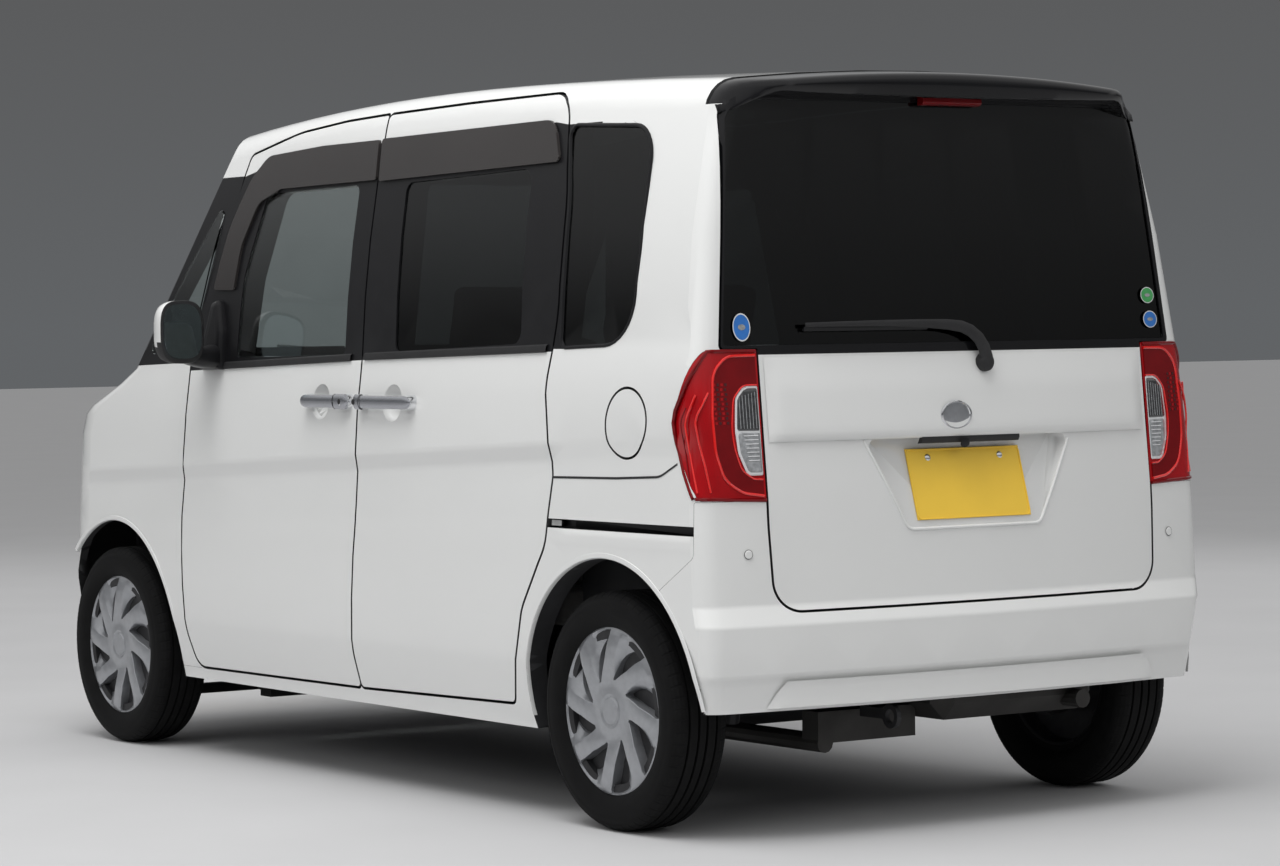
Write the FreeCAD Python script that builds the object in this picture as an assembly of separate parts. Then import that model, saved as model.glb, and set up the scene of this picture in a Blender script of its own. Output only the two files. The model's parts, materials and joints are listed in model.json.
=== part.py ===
"""Tall-wagon kei car: body panels, glass, doors, tailgate, lamps, wheels, running gear and cabin.

Frame: +X forward, +Y to the car's left, +Z up, in millimetres. The origin is on the ground,
midway along the car and on its centre plane. Panels are cut from one master body, whose skin
is lofted through side sections and trimmed by lofted plan outlines at the nose and the tail.
"""
import FreeCAD, Part
import math
import os
from FreeCAD import Vector

# Overall sizes
LENGTH = 3395.0
WIDTH = 1475.0
HEIGHT = 1750.0
WHEELBASE = 2455.0
REAR_OVERHANG = 450.0
TRACK = 1300.0
HALF_WIDTH = WIDTH / 2
REAR_X = -LENGTH / 2
FRONT_X = LENGTH / 2
REAR_AXLE = REAR_X + REAR_OVERHANG
FRONT_AXLE = REAR_AXLE + WHEELBASE
FAR = 400.0
FLARE = 60.0

# Gaps and wall thicknesses
DOOR_GAP = 7.0
PANEL_GAP = 6.0
SEAM = 0.8
SEAT_RUN = 0.6
SEAT_GAP = 0.5
WALL = 56.0
ROOF_WALL = 32.0
SKIN = 20.0
GLASS = 4.0
GLASS_SET = 4.0

# Side section, from the sill up
SIDE_SECTION = [
    # name, inset from the half width, height at mid-length, rise per metre forward, bulge, steps
    ("sill", 45.0, 205.0, 0.0, 0.0, 1),
    ("door_bottom", 33.0, 250.0, 0.0, 0.0, 1),
    ("low_crease", 10.0, 366.0, 0.0, 0.0, 1),
    ("groove", 10.5, 781.0, -50.0, 9.0, 4),
    ("shoulder", 4.0, 824.0, -50.0, 0.0, 1),
    ("belt", 30.0, 1072.0, -28.0, 5.0, 2),
]
RAIL_INSET = 122.0
RAIL_Z = 1610.0
RAIL_BULGE = 13.0
RAIL_R = 88.0
ROOF_CAMBER = 5200.0
RAIL_BULGE_STEPS = 4
RAIL_STEPS = 5
CROWN_STEPS = 6
BOW_STEPS = 6
CORNER_STEPS = 6
COARSE_FROM = 12.0
SILL_BOTTOM = 205.0
SKIRT_Z = 150.0
STATIONS = [
    # x, extra inset of the sides, roof height
    (-1850.0, 9.0, 1700.0),
    (-500.0, 0.0, HEIGHT),
    (500.0, 3.5, 1714.0),
    (1850.0, 16.0, 1480.0),
]

# Nose and tail: plan outlines at a row of heights
FRONT_TURN = 2300.0
FRONT_ROWS = [
    # back from the nose, height, corner radius
    (66.0, 130.0, 200.0),
    (6.0, 215.0, 235.0),
    (2.6, 345.0, 240.0),
    (6.0, 442.0, 240.0),
    (26.0, 650.0, 240.0),
    (48.0, 857.0, 230.0),
    (72.0, 912.0, 220.0),
    (120.0, 935.0, 200.0),
    (335.0, 999.0, 120.0),
    (443.0, 1040.0, 80.0),
    (871.5, 1583.0, 70.0),
    (1122.0, 1900.0, 70.0),
]
REAR_TURN = 5000.0
REAR_CORNER = 50.0
REAR_ROWS = [
    # ahead of the rearmost point, height
    (60.0, 90.0),
    (26.0, 300.0),
    (0.0, 480.0),
    (8.0, 525.0),
    (20.0, 757.0),
    (33.0, 887.0),
    (51.0, 1068.0),
    (78.0, 1340.0),
    (106.0, 1612.0),
    (136.0, 1990.0),
]

# Side-view outlines, as (x, z, corner radius)
PILLAR_LINE = [
    (-116.0, 1677.0, 10.0),
    (-150.0, 1000.0, 700.0),
    (-146.0, 680.0, 500.0),
    (-100.0, 330.0, 150.0),
    (-110.0, 247.0, 12.0),
]
FRONT_DOOR_EDGE = [
    (768.0, 241.0, 50.0),
    (798.0, 330.0, 100.0),
    (792.0, 640.0, 500.0),
    (775.0, 900.0, 400.0),
    (776.0, 1130.0, 90.0),
    (697.0, 1262.0, 120.0),
    (578.0, 1604.0, 28.0),
    (331.0, 1652.0, 500.0),
    (100.0, 1670.0, 900.0),
]
SLIDE_DOOR_EDGE = [
    (-500.0, 1684.0, 2000.0),
    (-936.0, 1687.0, 88.0),
    (-1010.0, 1425.0, 600.0),
    (-1026.0, 1180.0, 400.0),
    (-1002.0, 1010.0, 200.0),
    (-1038.0, 800.0, 60.0),
    (-1010.0, 640.0, 120.0),
    (-905.0, 490.0, 150.0),
    (-830.0, 262.0, 16.0),
]
FRONT_WINDOW = [
    (-58.0, 1078.0, 14.0),
    (520.0, 1070.0, 14.0),
    (516.0, 1275.0, 120.0),
    (446.0, 1500.0, 45.0),
    (-38.0, 1506.0, 25.0),
]
SLIDE_WINDOW = [
    (-306.0, 1086.0, 20.0),
    (-878.0, 1104.0, 30.0),
    (-842.0, 1516.0, 45.0),
    (-270.0, 1502.0, 25.0),
]
QUARTER_WINDOW = [
    (-1052.0, 1096.0, 20.0),
    (-1334.0, 1104.0, 110.0),
    (-1337.0, 1330.0, 700.0),
    (-1318.0, 1590.0, 90.0),
    (-972.0, 1608.0, 20.0),
    (-1027.0, 1425.0, 500.0),
    (-1044.0, 1236.0, 400.0),
]
FRONT_QUARTER = [
    (786.0, 1084.0, 14.0),
    (1050.0, 1078.0, 20.0),
    (676.0, 1512.0, 16.0),
    (760.0, 1190.0, 100.0),
]
FRONT_VISOR = [
    (555.0, 1249.0, 8.0),
    (668.0, 1251.0, 10.0),
    (621.0, 1413.0, 200.0),
    (543.0, 1545.0, 120.0),
    (470.0, 1600.0, 80.0),
    (185.0, 1614.0, 900.0),
    (-103.0, 1616.0, 8.0),
    (-123.0, 1515.0, 8.0),
    (370.0, 1510.0, 60.0),
    (480.0, 1476.0, 60.0),
    (538.0, 1370.0, 80.0),
]
REAR_VISOR = [
    (-118.0, 1618.0, 8.0),
    (-905.0, 1627.0, 60.0),
    (-961.0, 1526.0, 10.0),
    (-140.0, 1511.0, 8.0),
]
FENDER = [
    (760.0, 236.0, 0.0),
    (1900.0, 236.0, 0.0),
    (1900.0, 1044.0, 0.0),
    (1262.0, 1044.0, 0.0),
    (760.0, 1058.0, 0.0),
]
FRONT_BUMPER = [
    (1400.0, 100.0, 0.0),
    (1400.0, 500.0, 0.0),
    (1480.0, 560.0, 40.0),
    (1560.0, 730.0, 20.0),
    (1900.0, 730.0, 0.0),
    (1900.0, 100.0, 0.0),
]
HEADLAMP = [
    (1480.0, 930.0, 20.0),
    (1900.0, 905.0, 0.0),
    (1900.0, 733.0, 0.0),
    (1563.0, 733.0, 20.0),
]
REAR_BUMPER = [
    (-1900.0, 100.0, 0.0),
    (-1400.0, 100.0, 0.0),
    (-1400.0, 525.0, 0.0),
    (-1460.0, 551.0, 30.0),
    (-1598.0, 634.0, 20.0),
    (-1598.0, 755.0, 4.0),
    (-1900.0, 755.0, 0.0),
]
TAIL_LAMP = [
    (-1900.0, 758.0, 0.0),
    (-1610.0, 758.0, 8.0),
    (-1560.0, 830.0, 120.0),
    (-1510.0, 925.0, 60.0),
    (-1545.0, 1010.0, 200.0),
    (-1592.0, 1086.0, 12.0),
    (-1900.0, 1086.0, 0.0),
]
FUEL_LID_X = -1338.0
FUEL_LID_Z = 925.0
FUEL_LID_R = 76.0
RAIL_SLOT_X = (-1598.0, -1030.0)
RAIL_SLOT_Z = (681.0, 702.0)
RAIL_SLOT_Y = 705.0

# Rear-view outlines, as (y, z, corner radius), one half
TAILGATE = [
    (0.0, 512.0, 0.0),
    (549.0, 512.0, 68.0),
    (557.0, 700.0, 300.0),
    (557.0, 1089.0, 3.0),
    (650.0, 1089.0, 8.0),
    (594.0, 1652.0, 60.0),
    (0.0, 1652.0, 0.0),
]
TAILGATE_FRONT_X = -1500.0
REAR_WINDOW = [
    (0.0, 1096.0, 0.0),
    (644.0, 1096.0, 8.0),
    (590.0, 1640.0, 60.0),
    (0.0, 1640.0, 0.0),
]
PLATE_RECESS = [
    (0.0, 677.0, 0.0),
    (190.0, 677.0, 12.0),
    (298.0, 883.0, 18.0),
    (0.0, 883.0, 0.0),
]
WINDSCREEN = [
    (0.0, 1064.0, 0.0),
    (652.0, 1064.0, 25.0),
    (560.0, 1648.0, 60.0),
    (0.0, 1652.0, 0.0),
]
BONNET_HALF = 598.0
BONNET_BACK = 1258.0
BONNET_LOW = 890.0
ROOF_HALF = 512.0
ROOF_BACK = TAILGATE_FRONT_X + PANEL_GAP

# Number plates
PLATE_W = 330.0
PLATE_H = 165.0
PLATE_T = 2.0
REAR_PLATE_X = -1652.0
REAR_PLATE_Z = 776.0
REAR_PLATE_LEAN = 16.3

# Wheels and running gear
TYRE_R = 272.0
TYRE_W = 155.0
RIM_R = 178.0
COVER_R = 192.0
COVER_FACE_Y = 69.0
SPOKES = 8
TYRE_SIDES = 48
RIM_SIDES = 32
COVER_SIDES = 48
ARCH_R = 347.0
ARCH_Z = 272.0
WHEELHOUSE_R = 362.0
SPINDLE_R = 20.0
RUNNING_FIT = 0.05
KINGPIN_LOW = (600.0, 150.0)
KINGPIN_HIGH = (510.0, 840.0)

# Doors and hatches
DOOR_HINGE_X = 738.0
DOOR_HINGE_Y = 716.0
HINGE_PIN_R = 5.0
HINGE_POST_Y = 634.0
HINGE_ZS = (430.0, 800.0)
POST_X = 807.0
MIRROR_BOX = (560.0, 762.0, 905.0, 1055.0, 1225.0)
MIRROR_T = 80.0
HANDLE_Z = 962.0
HANDLE_R = 11.0
HANDLES = [
    # first x, last x, recess x
    (-110.0, 134.0, 40.0),
    (-414.0, -150.0, -318.0),
]

# Towing eyes
TOW_EYE_R = 16.0
TOW_EYE_T = 12.0
TOW_EYES = [
    # x, y, z, length of the bar towards mid-length, height of what it hangs from
    (1600.0, -340.0, 165.0, -110.0, 330.0),
    (-1630.0, 210.0, 256.0, 110.0, 422.0),
]

# Cabin
FLOOR_Z = 245.0
LOAD_FLOOR_Z = 440.0
FIREWALL_X = 868.0
SEAT_Y = 330.0
SEAT_W = 480.0
WHEEL_RIM_R = 178.0
COLUMN_LEAN = 28.0
COLUMN_AT = (430.0, -330.0, 945.0)

PARTS = {}


def v(x, y, z):
    return Vector(x, y, z)


def mirror(shape):
    return shape.mirror(v(0, 0, 0), v(0, 1, 0))


def corner_edges(corners, place):
    """Lines and tangent arcs round a closed outline of (a, b, radius) corners."""
    n = len(corners)
    starts = []
    ends = []
    mids = []
    for i, (a, b, r) in enumerate(corners):
        before = corners[i - 1]
        after = corners[(i + 1) % n]
        ua = (before[0] - a, before[1] - b)
        ub = (after[0] - a, after[1] - b)
        la = math.hypot(*ua)
        lb = math.hypot(*ub)
        ua = (ua[0] / la, ua[1] / la)
        ub = (ub[0] / lb, ub[1] / lb)
        cos_turn = max(-1.0, min(1.0, ua[0] * ub[0] + ua[1] * ub[1]))
        half = math.acos(cos_turn) / 2
        if r <= 0 or half > math.radians(89.7):
            starts.append((a, b))
            ends.append((a, b))
            mids.append(None)
            continue
        t = min(r / math.tan(half), 0.49 * la, 0.49 * lb)
        r = t * math.tan(half)
        bis = (ua[0] + ub[0], ua[1] + ub[1])
        lbis = math.hypot(*bis)
        d = r / math.sin(half) - r
        starts.append((a + ua[0] * t, b + ua[1] * t))
        ends.append((a + ub[0] * t, b + ub[1] * t))
        mids.append((a + bis[0] / lbis * d, b + bis[1] / lbis * d))
    edges = []
    for i in range(n):
        if mids[i]:
            arc = Part.Arc(place(*starts[i]), place(*mids[i]), place(*ends[i]))
            edges.append(arc.toShape())
        p = place(*ends[i])
        q = place(*starts[(i + 1) % n])
        if p.distanceToPoint(q) > 1e-3:
            edges.append(Part.makeLine(p, q))
    return edges


def outline(corners, place, by=0.0):
    wire = Part.Wire(corner_edges(corners, place))
    if by:
        wire = wire.makeOffset2D(by)
    return Part.Face(wire)


def side_prism(corners, by=0.0, y0=200.0, y1=900.0):
    """A side-view outline, grown by a gap, made solid between two widths."""
    face = outline(corners, lambda a, b: v(a, y0, b), by)
    return face.extrude(v(0, y1 - y0, 0))


def rear_prism(half, x0, x1, by=0.0):
    """A half rear-view outline with its mirror image, grown by a gap and made solid."""
    other = [(-a, b, r) for a, b, r in reversed(half) if a > 0]
    corners = [c for c in half if c[0] > 0] + other
    face = outline(corners, lambda a, b: v(x0, a, b), by)
    return face.extrude(v(x1 - x0, 0, 0))


def box(x0, x1, y0, y1, z0, z1):
    return Part.makeBox(x1 - x0, y1 - y0, z1 - z0, v(x0, y0, z0))


def tube_y(x, z, r, y0, y1):
    return Part.makeCylinder(r, y1 - y0, v(x, y0, z), v(0, 1, 0))


def soft_box(x0, x1, y0, y1, z0, z1, r):
    """A box with bevelled edges."""
    b = box(x0, x1, y0, y1, z0, z1)
    return b.makeChamfer(r, b.Edges)


def rod(p, q, r, sides=12):
    """A bar with a many-sided section from one point to another."""
    way = q - p
    length = way.Length
    turns = [2 * math.pi * i / sides for i in range(sides)]
    corners = [v(r * math.cos(a), r * math.sin(a), 0) for a in turns]
    bar = Part.Face(closed(corners)).extrude(v(0, 0, length))
    bar.Placement = FreeCAD.Placement(p, FreeCAD.Rotation(v(0, 0, 1), way))
    return bar


def ring(profile, sides, start=0.0):
    """A closed (radius, y) profile turned round the Y axis in flat steps."""
    faces = []
    rows = []
    for i in range(sides):
        a = math.radians(start) + 2 * math.pi * i / sides
        rows.append([v(r * math.cos(a), y, r * math.sin(a)) for r, y in profile])
    n = len(profile)
    for i in range(sides):
        here = rows[i]
        after = rows[(i + 1) % sides]
        for j in range(n):
            k = (j + 1) % n
            quad = [here[j], here[k], after[k], after[j]]
            quad = [p for m, p in enumerate(quad) if p.distanceToPoint(quad[m - 1]) > 1e-6]
            if len(quad) > 2:
                faces.append(Part.Face(closed(quad)))
    shell = Part.makeShell(faces)
    solid = Part.makeSolid(shell)
    if solid.Volume < 0:
        solid.reverse()
    return solid


def arc_points(p, m, q, steps):
    """Points along the arc from p through m to q, without p."""
    circle = Part.Arc(p, m, q).toShape().Curve
    a = p - circle.Center
    axis = a.cross(q - circle.Center)
    axis.normalize()
    turn = a.getAngle(q - circle.Center)
    side = axis.cross(a)
    found = []
    for i in range(1, steps + 1):
        t = turn * i / steps
        found.append(circle.Center + a * math.cos(t) + side * math.sin(t))
    return found


def bulged(p, q, bulge, steps):
    """Points from p to q on an arc standing out by bulge, without p."""
    if steps == 1:
        return [q]
    way = q - p
    out = v(0, way.z, -way.y)
    out.normalize()
    return arc_points(p, (p + q) * 0.5 + out * bulge, q, steps)


def closed(points):
    return Part.makePolygon(points + points[:1])


def rail_corner(belt, rail, top, r):
    """Where an arc of radius r leaves the line belt-rail and meets the cambered roof."""
    u = rail - belt
    u.normalize()
    n = v(0, -u.z, u.y)
    start = belt + n * r
    centre = v(belt.x, 0, top - ROOF_CAMBER)
    w = start - centre
    b = u.dot(w)
    c = w.dot(w) - (ROOF_CAMBER - r) ** 2
    mid = start + u * (-b + math.sqrt(b * b - c))
    low = mid - n * r
    out = mid - centre
    out.normalize()
    high = mid + out * r
    half = out - n
    half.normalize()
    return low, mid + half * r, high


def side_section(x, extra, top, inset, roof_inset):
    """The closed section of the body at x: sides, roof rails and cambered roof."""
    fine = inset < COARSE_FROM
    corners = []
    for name, ins, z, rise, bulge, steps in SIDE_SECTION:
        corners.append(v(x, HALF_WIDTH - ins - extra - inset, z + rise * x / 1000))
    rail = v(x, HALF_WIDTH - RAIL_INSET - extra - inset, RAIL_Z)
    low, mid, high = rail_corner(corners[-1], rail, top - roof_inset, max(RAIL_R - inset, 20.0))
    left = [v(x, corners[0].y, SKIRT_Z), corners[0]]
    for i, (name, ins, z, rise, bulge, steps) in enumerate(SIDE_SECTION[1:]):
        left += bulged(corners[i], corners[i + 1], bulge, steps if fine else 1)
    left += bulged(corners[-1], low, RAIL_BULGE, RAIL_BULGE_STEPS if fine else 1)
    left += arc_points(low, mid, high, RAIL_STEPS if fine else 2)
    crown = v(x, 0, top - roof_inset)
    across = arc_points(high, crown, v(x, -high.y, high.z), CROWN_STEPS if fine else 2)
    right = [v(x, -p.y, p.z) for p in reversed(left[:-1])]
    return closed(left + across + right)


def side_solid(inset, roof_inset):
    wires = [side_section(x, extra, top, inset, roof_inset) for x, extra, top in STATIONS]
    return Part.makeLoft(wires, True, False)


def side_y(x, z):
    """Half width of the body's side near a place along the car and a height."""
    at = [s for s in STATIONS if s[0] <= x][-1:] or STATIONS[:1]
    i = min(STATIONS.index(at[0]), len(STATIONS) - 2)
    x0, e0, t0 = STATIONS[i]
    x1, e1, t1 = STATIONS[i + 1]
    extra = e0 + (e1 - e0) * (x - x0) / (x1 - x0)
    rows = [(HALF_WIDTH - s[1] - extra, s[2] + s[3] * x / 1000, s[4]) for s in SIDE_SECTION]
    rows.append((HALF_WIDTH - RAIL_INSET - extra, RAIL_Z, RAIL_BULGE))
    if z <= rows[0][1]:
        return rows[0][0]
    for (y0, z0, b0), (y1, z1, b1) in zip(rows, rows[1:]):
        if z <= z1:
            t = (z - z0) / (z1 - z0)
            return y0 + (y1 - y0) * t + 4 * b1 * t * (1 - t)
    (y0, z0, b0), (y1, z1, b1) = rows[-2:]
    return y1 + (y1 - y0) * (z - z1) / (z1 - z0)


def plan_wire(x, half, r, turn, z, x_far, fine=True):
    """A plan outline at one height: bowed end, two rounded corners, straight sides."""
    sign = 1 if x_far > x else -1
    cx = math.sqrt((turn - r) ** 2 - (half - r) ** 2)
    k = turn / (turn - r)
    centre = x + sign * turn
    small = (centre - sign * cx, half - r)
    touch = (centre - sign * cx * k, (half - r) * k)
    lean = math.atan2(half - r, cx)
    a = (math.pi / 2 + lean) / 2
    mid = (small[0] - sign * r * math.cos(a), small[1] + r * math.sin(a))
    left = [v(p[0], p[1], z) for p in (touch, mid, (small[0], half), (x_far, half + FLARE))]
    right = [v(p.x, -p.y, z) for p in left]
    bow = arc_points(right[0], v(x, 0, z), left[0], BOW_STEPS if fine else 4)
    corner = arc_points(left[0], left[1], left[2], CORNER_STEPS if fine else 3)
    other = [v(p.x, -p.y, p.z) for p in reversed(corner[:-1])]
    return closed(bow + corner + [left[3], right[3], right[2]] + other + [right[0]])


def rear_solid(inset):
    wires = []
    for ahead, z in REAR_ROWS:
        x = REAR_X + ahead
        half = side_y(x, z) + 1.5 - inset
        r = max(REAR_CORNER - inset, 12.0)
        wires.append(plan_wire(x + inset, half, r, REAR_TURN, z, FRONT_X + FAR, inset < COARSE_FROM))
    return Part.makeLoft(wires, True, True)


def front_solid(inset):
    wires = []
    for back, z, r in FRONT_ROWS:
        x = FRONT_X - back
        half = side_y(x, z) + 1.5 - inset
        corner = r - min(inset, 40.0)
        wires.append(plan_wire(x - inset, half, corner, FRONT_TURN, z, REAR_X - FAR, inset < COARSE_FROM))
    return Part.makeLoft(wires, True, True)


def front_x(y, z):
    """Where the nose and windscreen lie at a place across the car and a height."""
    for (b0, z0, r0), (b1, z1, r1) in zip(FRONT_ROWS, FRONT_ROWS[1:]):
        if z <= z1:
            back = b0 + (b1 - b0) * (z - z0) / (z1 - z0)
            return FRONT_X - back - (FRONT_TURN - math.sqrt(FRONT_TURN**2 - y * y))


def front_z(x):
    """How high the nose lies on the centre plane at a place along the car."""
    for (b0, z0, r0), (b1, z1, r1) in zip(FRONT_ROWS[3:], FRONT_ROWS[4:]):
        if FRONT_X - b1 <= x:
            return z0 + (z1 - z0) * (FRONT_X - b0 - x) / (b1 - b0)


def rear_x(z):
    """Where the tail lies on the centre plane at a height."""
    for (a0, z0), (a1, z1) in zip(REAR_ROWS, REAR_ROWS[1:]):
        if z <= z1:
            return REAR_X + a0 + (a1 - a0) * (z - z0) / (z1 - z0)


def body(inset, roof_inset=None):
    """The whole body's outside, moved inward."""
    roof_inset = inset if roof_inset is None else roof_inset
    whole = side_solid(inset, roof_inset)
    return whole.common(rear_solid(inset)).common(front_solid(inset))


def keep(name, *shapes):
    """Store a node made of one or more solids."""
    solids = [s for shape in shapes for s in shape.Solids]
    PARTS[name] = solids[0] if len(solids) == 1 else Part.Compound(solids)


def biggest(shape):
    return max(shape.Solids, key=lambda s: s.Volume)


def arches(x, r):
    return tube_y(x, ARCH_Z, r, -900, 900)


def front_door_outline():
    edge = [(x + DOOR_GAP / 2, z, r) for x, z, r in PILLAR_LINE]
    return FRONT_DOOR_EDGE + edge


def slide_door_outline():
    edge = [(x - DOOR_GAP / 2, z, r) for x, z, r in reversed(PILLAR_LINE)]
    return SLIDE_DOOR_EDGE + edge


def handle(x0, x1, y, z):
    """A bar on two feet, set out from the door's skin."""
    bar = soft_box(x0, x1, y + 22, y + 38, z - HANDLE_R, z + HANDLE_R, 5)
    for x in (x0 + 12, x1 - 12):
        bar = bar.fuse(box(x - 9, x + 9, y - 12, y + 30, z - 7, z + 7))
    return bar.removeSplitter()


def tyre():
    """A tyre round the Y axis."""
    h = TYRE_W / 2
    half = [
        # radius, y
        (RIM_R - 5, h - 21),
        (RIM_R + 16, h - 21),
        (RIM_R + 38, h),
        (TYRE_R - 20, h - 8),
        (TYRE_R, h - 26),
    ]
    profile = half + [(r, -y) for r, y in reversed(half)]
    return ring(profile, TYRE_SIDES)


def steel_wheel():
    """A rim with its disc and hub round the Y axis, outer side towards +Y."""
    h = TYRE_W / 2
    profile = [
        # radius, y
        (RIM_R - 6, -h + 20.5),
        (RIM_R - 6, h - 20.5),
        (RIM_R + 7, h - 20.5),
        (RIM_R + 7, h - 19),
        (RIM_R - 12, h - 19),
        (RIM_R - 12, 12),
        (100, 22),
        (40, 10),
        (40, 0),
        (100, 14),
        (RIM_R - 12, 4),
        (RIM_R - 12, -h + 16),
        (RIM_R + 7, -h + 16),
        (RIM_R + 7, -h + 20.5),
    ]
    wheel = ring(profile, RIM_SIDES)
    hub = ring([(0, -34), (42, -34), (42, 10), (0, 10)], 20)
    hub = hub.cut(tube_y(0, 0, SPINDLE_R + RUNNING_FIT, -40, 9))
    return wheel.fuse(hub).removeSplitter()


def wheel_cover():
    """A domed cover round the Y axis with swept openings between its spokes."""
    y = COVER_FACE_Y
    profile = [
        # radius, y
        (0, y - 3),
        (56, y - 3),
        (66, y - 13),
        (110, y - 1),
        (COVER_R - 20, y - 5),
        (COVER_R, y - 8),
        (COVER_R - 2, y - 9.8),
        (COVER_R - 22, y - 9.8),
        (110, y - 8),
        (68, y - 20),
        (0, y - 10),
    ]
    cover = ring(profile, COVER_SIDES)
    inner = 76.0
    outer = COVER_R - 18
    gap = [
        # radius, angle
        (inner, 4.0),
        (inner + 45, 8.0),
        (outer, 16.0),
        (outer, 42.0),
        (inner + 45, 27.0),
        (inner, 17.0),
    ]
    for i in range(SPOKES):
        at = i * 360 / SPOKES
        pts = []
        for r, a in gap:
            turn = math.radians(at + a)
            pts.append(v(r * math.cos(turn), -100, r * math.sin(turn)))
        cover = cover.cut(Part.Face(closed(pts)).extrude(v(0, 300, 0)))
    return cover


def at_wheel(shape, x, side):
    """Place a wheel piece, modelled for the left side, at an axle."""
    moved = shape.copy()
    moved.translate(v(x, TRACK / 2, TYRE_R))
    return moved if side > 0 else mirror(moved)


def build_wheels():
    rubber = tyre()
    steel = steel_wheel()
    cover = wheel_cover()
    for place, x in (("front", FRONT_AXLE), ("rear", REAR_AXLE)):
        for hand, side in (("left", 1), ("right", -1)):
            keep(f"tyre_{place}_{hand}", at_wheel(rubber, x, side))
            keep(f"wheel_{place}_{hand}", at_wheel(steel, x, side), at_wheel(cover, x, side))


def build_running_gear():
    """Knuckles, struts, arms, rear beam, engine, tank and exhaust."""
    low = v(FRONT_AXLE, *KINGPIN_LOW)
    high = v(FRONT_AXLE, *KINGPIN_HIGH)
    hub_in = TRACK / 2 - 36 - 4
    knuckle = tube_y(FRONT_AXLE, TYRE_R, SPINDLE_R, hub_in - 40, TRACK / 2 + 8)
    hub_ends = [v(FRONT_AXLE, hub_in - back, TYRE_R) for back in (50, 6)]
    knuckle = knuckle.fuse(rod(*hub_ends, 46, 16))
    knuckle = knuckle.fuse(box(FRONT_AXLE - 26, FRONT_AXLE + 26, 556, 584, 170, TYRE_R))
    way = high - low
    knuckle = knuckle.fuse(Part.makeCylinder(22, 43, low + way * (8 / 690), way))
    knuckle = knuckle.fuse(box(FRONT_AXLE - 26, FRONT_AXLE + 26, 520, 560, TYRE_R - 20, 380))
    strut = v(FRONT_AXLE, 536, 330)
    way = high - strut
    knuckle = knuckle.fuse(rod(strut, strut + way * 0.5, 22))
    knuckle = knuckle.fuse(rod(strut, strut + way * (1 - 5 / way.Length), 10))
    keep("knuckle_left", biggest(knuckle))
    keep("knuckle_right", mirror(biggest(knuckle)))

    def arm(side):
        a = box(FRONT_AXLE - 20, FRONT_AXLE + 20, 240, KINGPIN_LOW[0], 120, 146)
        a = a.fuse(rod(v(FRONT_AXLE, KINGPIN_LOW[0], 118), v(FRONT_AXLE, KINGPIN_LOW[0], 154.8), 18))
        a = a.fuse(box(FRONT_AXLE - 220, FRONT_AXLE + 20, 240, 290, 120, 146))
        a = a.fuse(box(FRONT_AXLE - 230, FRONT_AXLE - 170, 315, 365, 118, 329.7))
        mount = v(FRONT_AXLE, KINGPIN_HIGH[0], KINGPIN_HIGH[1] + 2)
        top = rod(mount, mount + v(0, 0, 29.7), 52, 16)
        return [s if side > 0 else mirror(s) for s in (a, top)]

    left, right = arm(1), arm(-1)
    bridge = box(FRONT_AXLE - 230, FRONT_AXLE - 170, -365, 365, 118, 160)
    arms = left[0].fuse(right[0]).fuse(bridge).removeSplitter()
    keep("front_suspension", arms, left[1], right[1])

    beam = rod(v(REAR_AXLE, -540, TYRE_R), v(REAR_AXLE, 540, TYRE_R), 30)
    for s in (1, -1):
        spindle = tube_y(REAR_AXLE, TYRE_R, SPINDLE_R, 520, TRACK / 2 + 8)
        drum = rod(v(REAR_AXLE, 552, TYRE_R), v(REAR_AXLE, 600, TYRE_R), 95, 20)
        trail = box(REAR_AXLE, REAR_AXLE + 329.2, 440, 480, TYRE_R - 30, TYRE_R + 20)
        foot = v(REAR_AXLE - 60, 430, TYRE_R - 40)
        damper = rod(foot, foot + v(-27, 0, 186.0), 24)
        for piece in (spindle, drum, trail, damper):
            beam = beam.fuse(piece if s > 0 else mirror(piece))
    beam = beam.fuse(box(REAR_AXLE - 80, REAR_AXLE, -455, -405, TYRE_R - 20, TYRE_R + 20))
    beam = beam.fuse(box(REAR_AXLE - 80, REAR_AXLE, 405, 455, TYRE_R - 20, TYRE_R + 20))
    keep("rear_axle", beam)

    engine = soft_box(1000, 1520, -285, 285, 260, 800, 20)
    engine = engine.fuse(box(1180, 1240, -309.7, 309.7, 340, 400))
    keep("engine", engine)
    keep("fuel_tank", soft_box(-780, -300, -420, 200, 150, FLOOR_Z - 18.3, 25))
    silencer = soft_box(-1620, -1420, -420, 60, 230, 380, 40)
    pipe = rod(v(-1500, 300, 190), v(400, 300, 190), 22)
    tail = rod(v(-1600, -330, 262), v(-1660, -330, 262), 22)
    link = box(-1500, -1440, 40, 320, 190, 262)
    hanger = box(-1530, -1510, -200, -180, 370, LOAD_FLOOR_Z - 18.3)
    strap = box(-300, -280, 292, 308, 200, FLOOR_Z - 18.3)
    exhaust = silencer.fuse(pipe).fuse(link).fuse(tail).fuse(hanger).fuse(strap)
    keep("exhaust", exhaust.removeSplitter())


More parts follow.
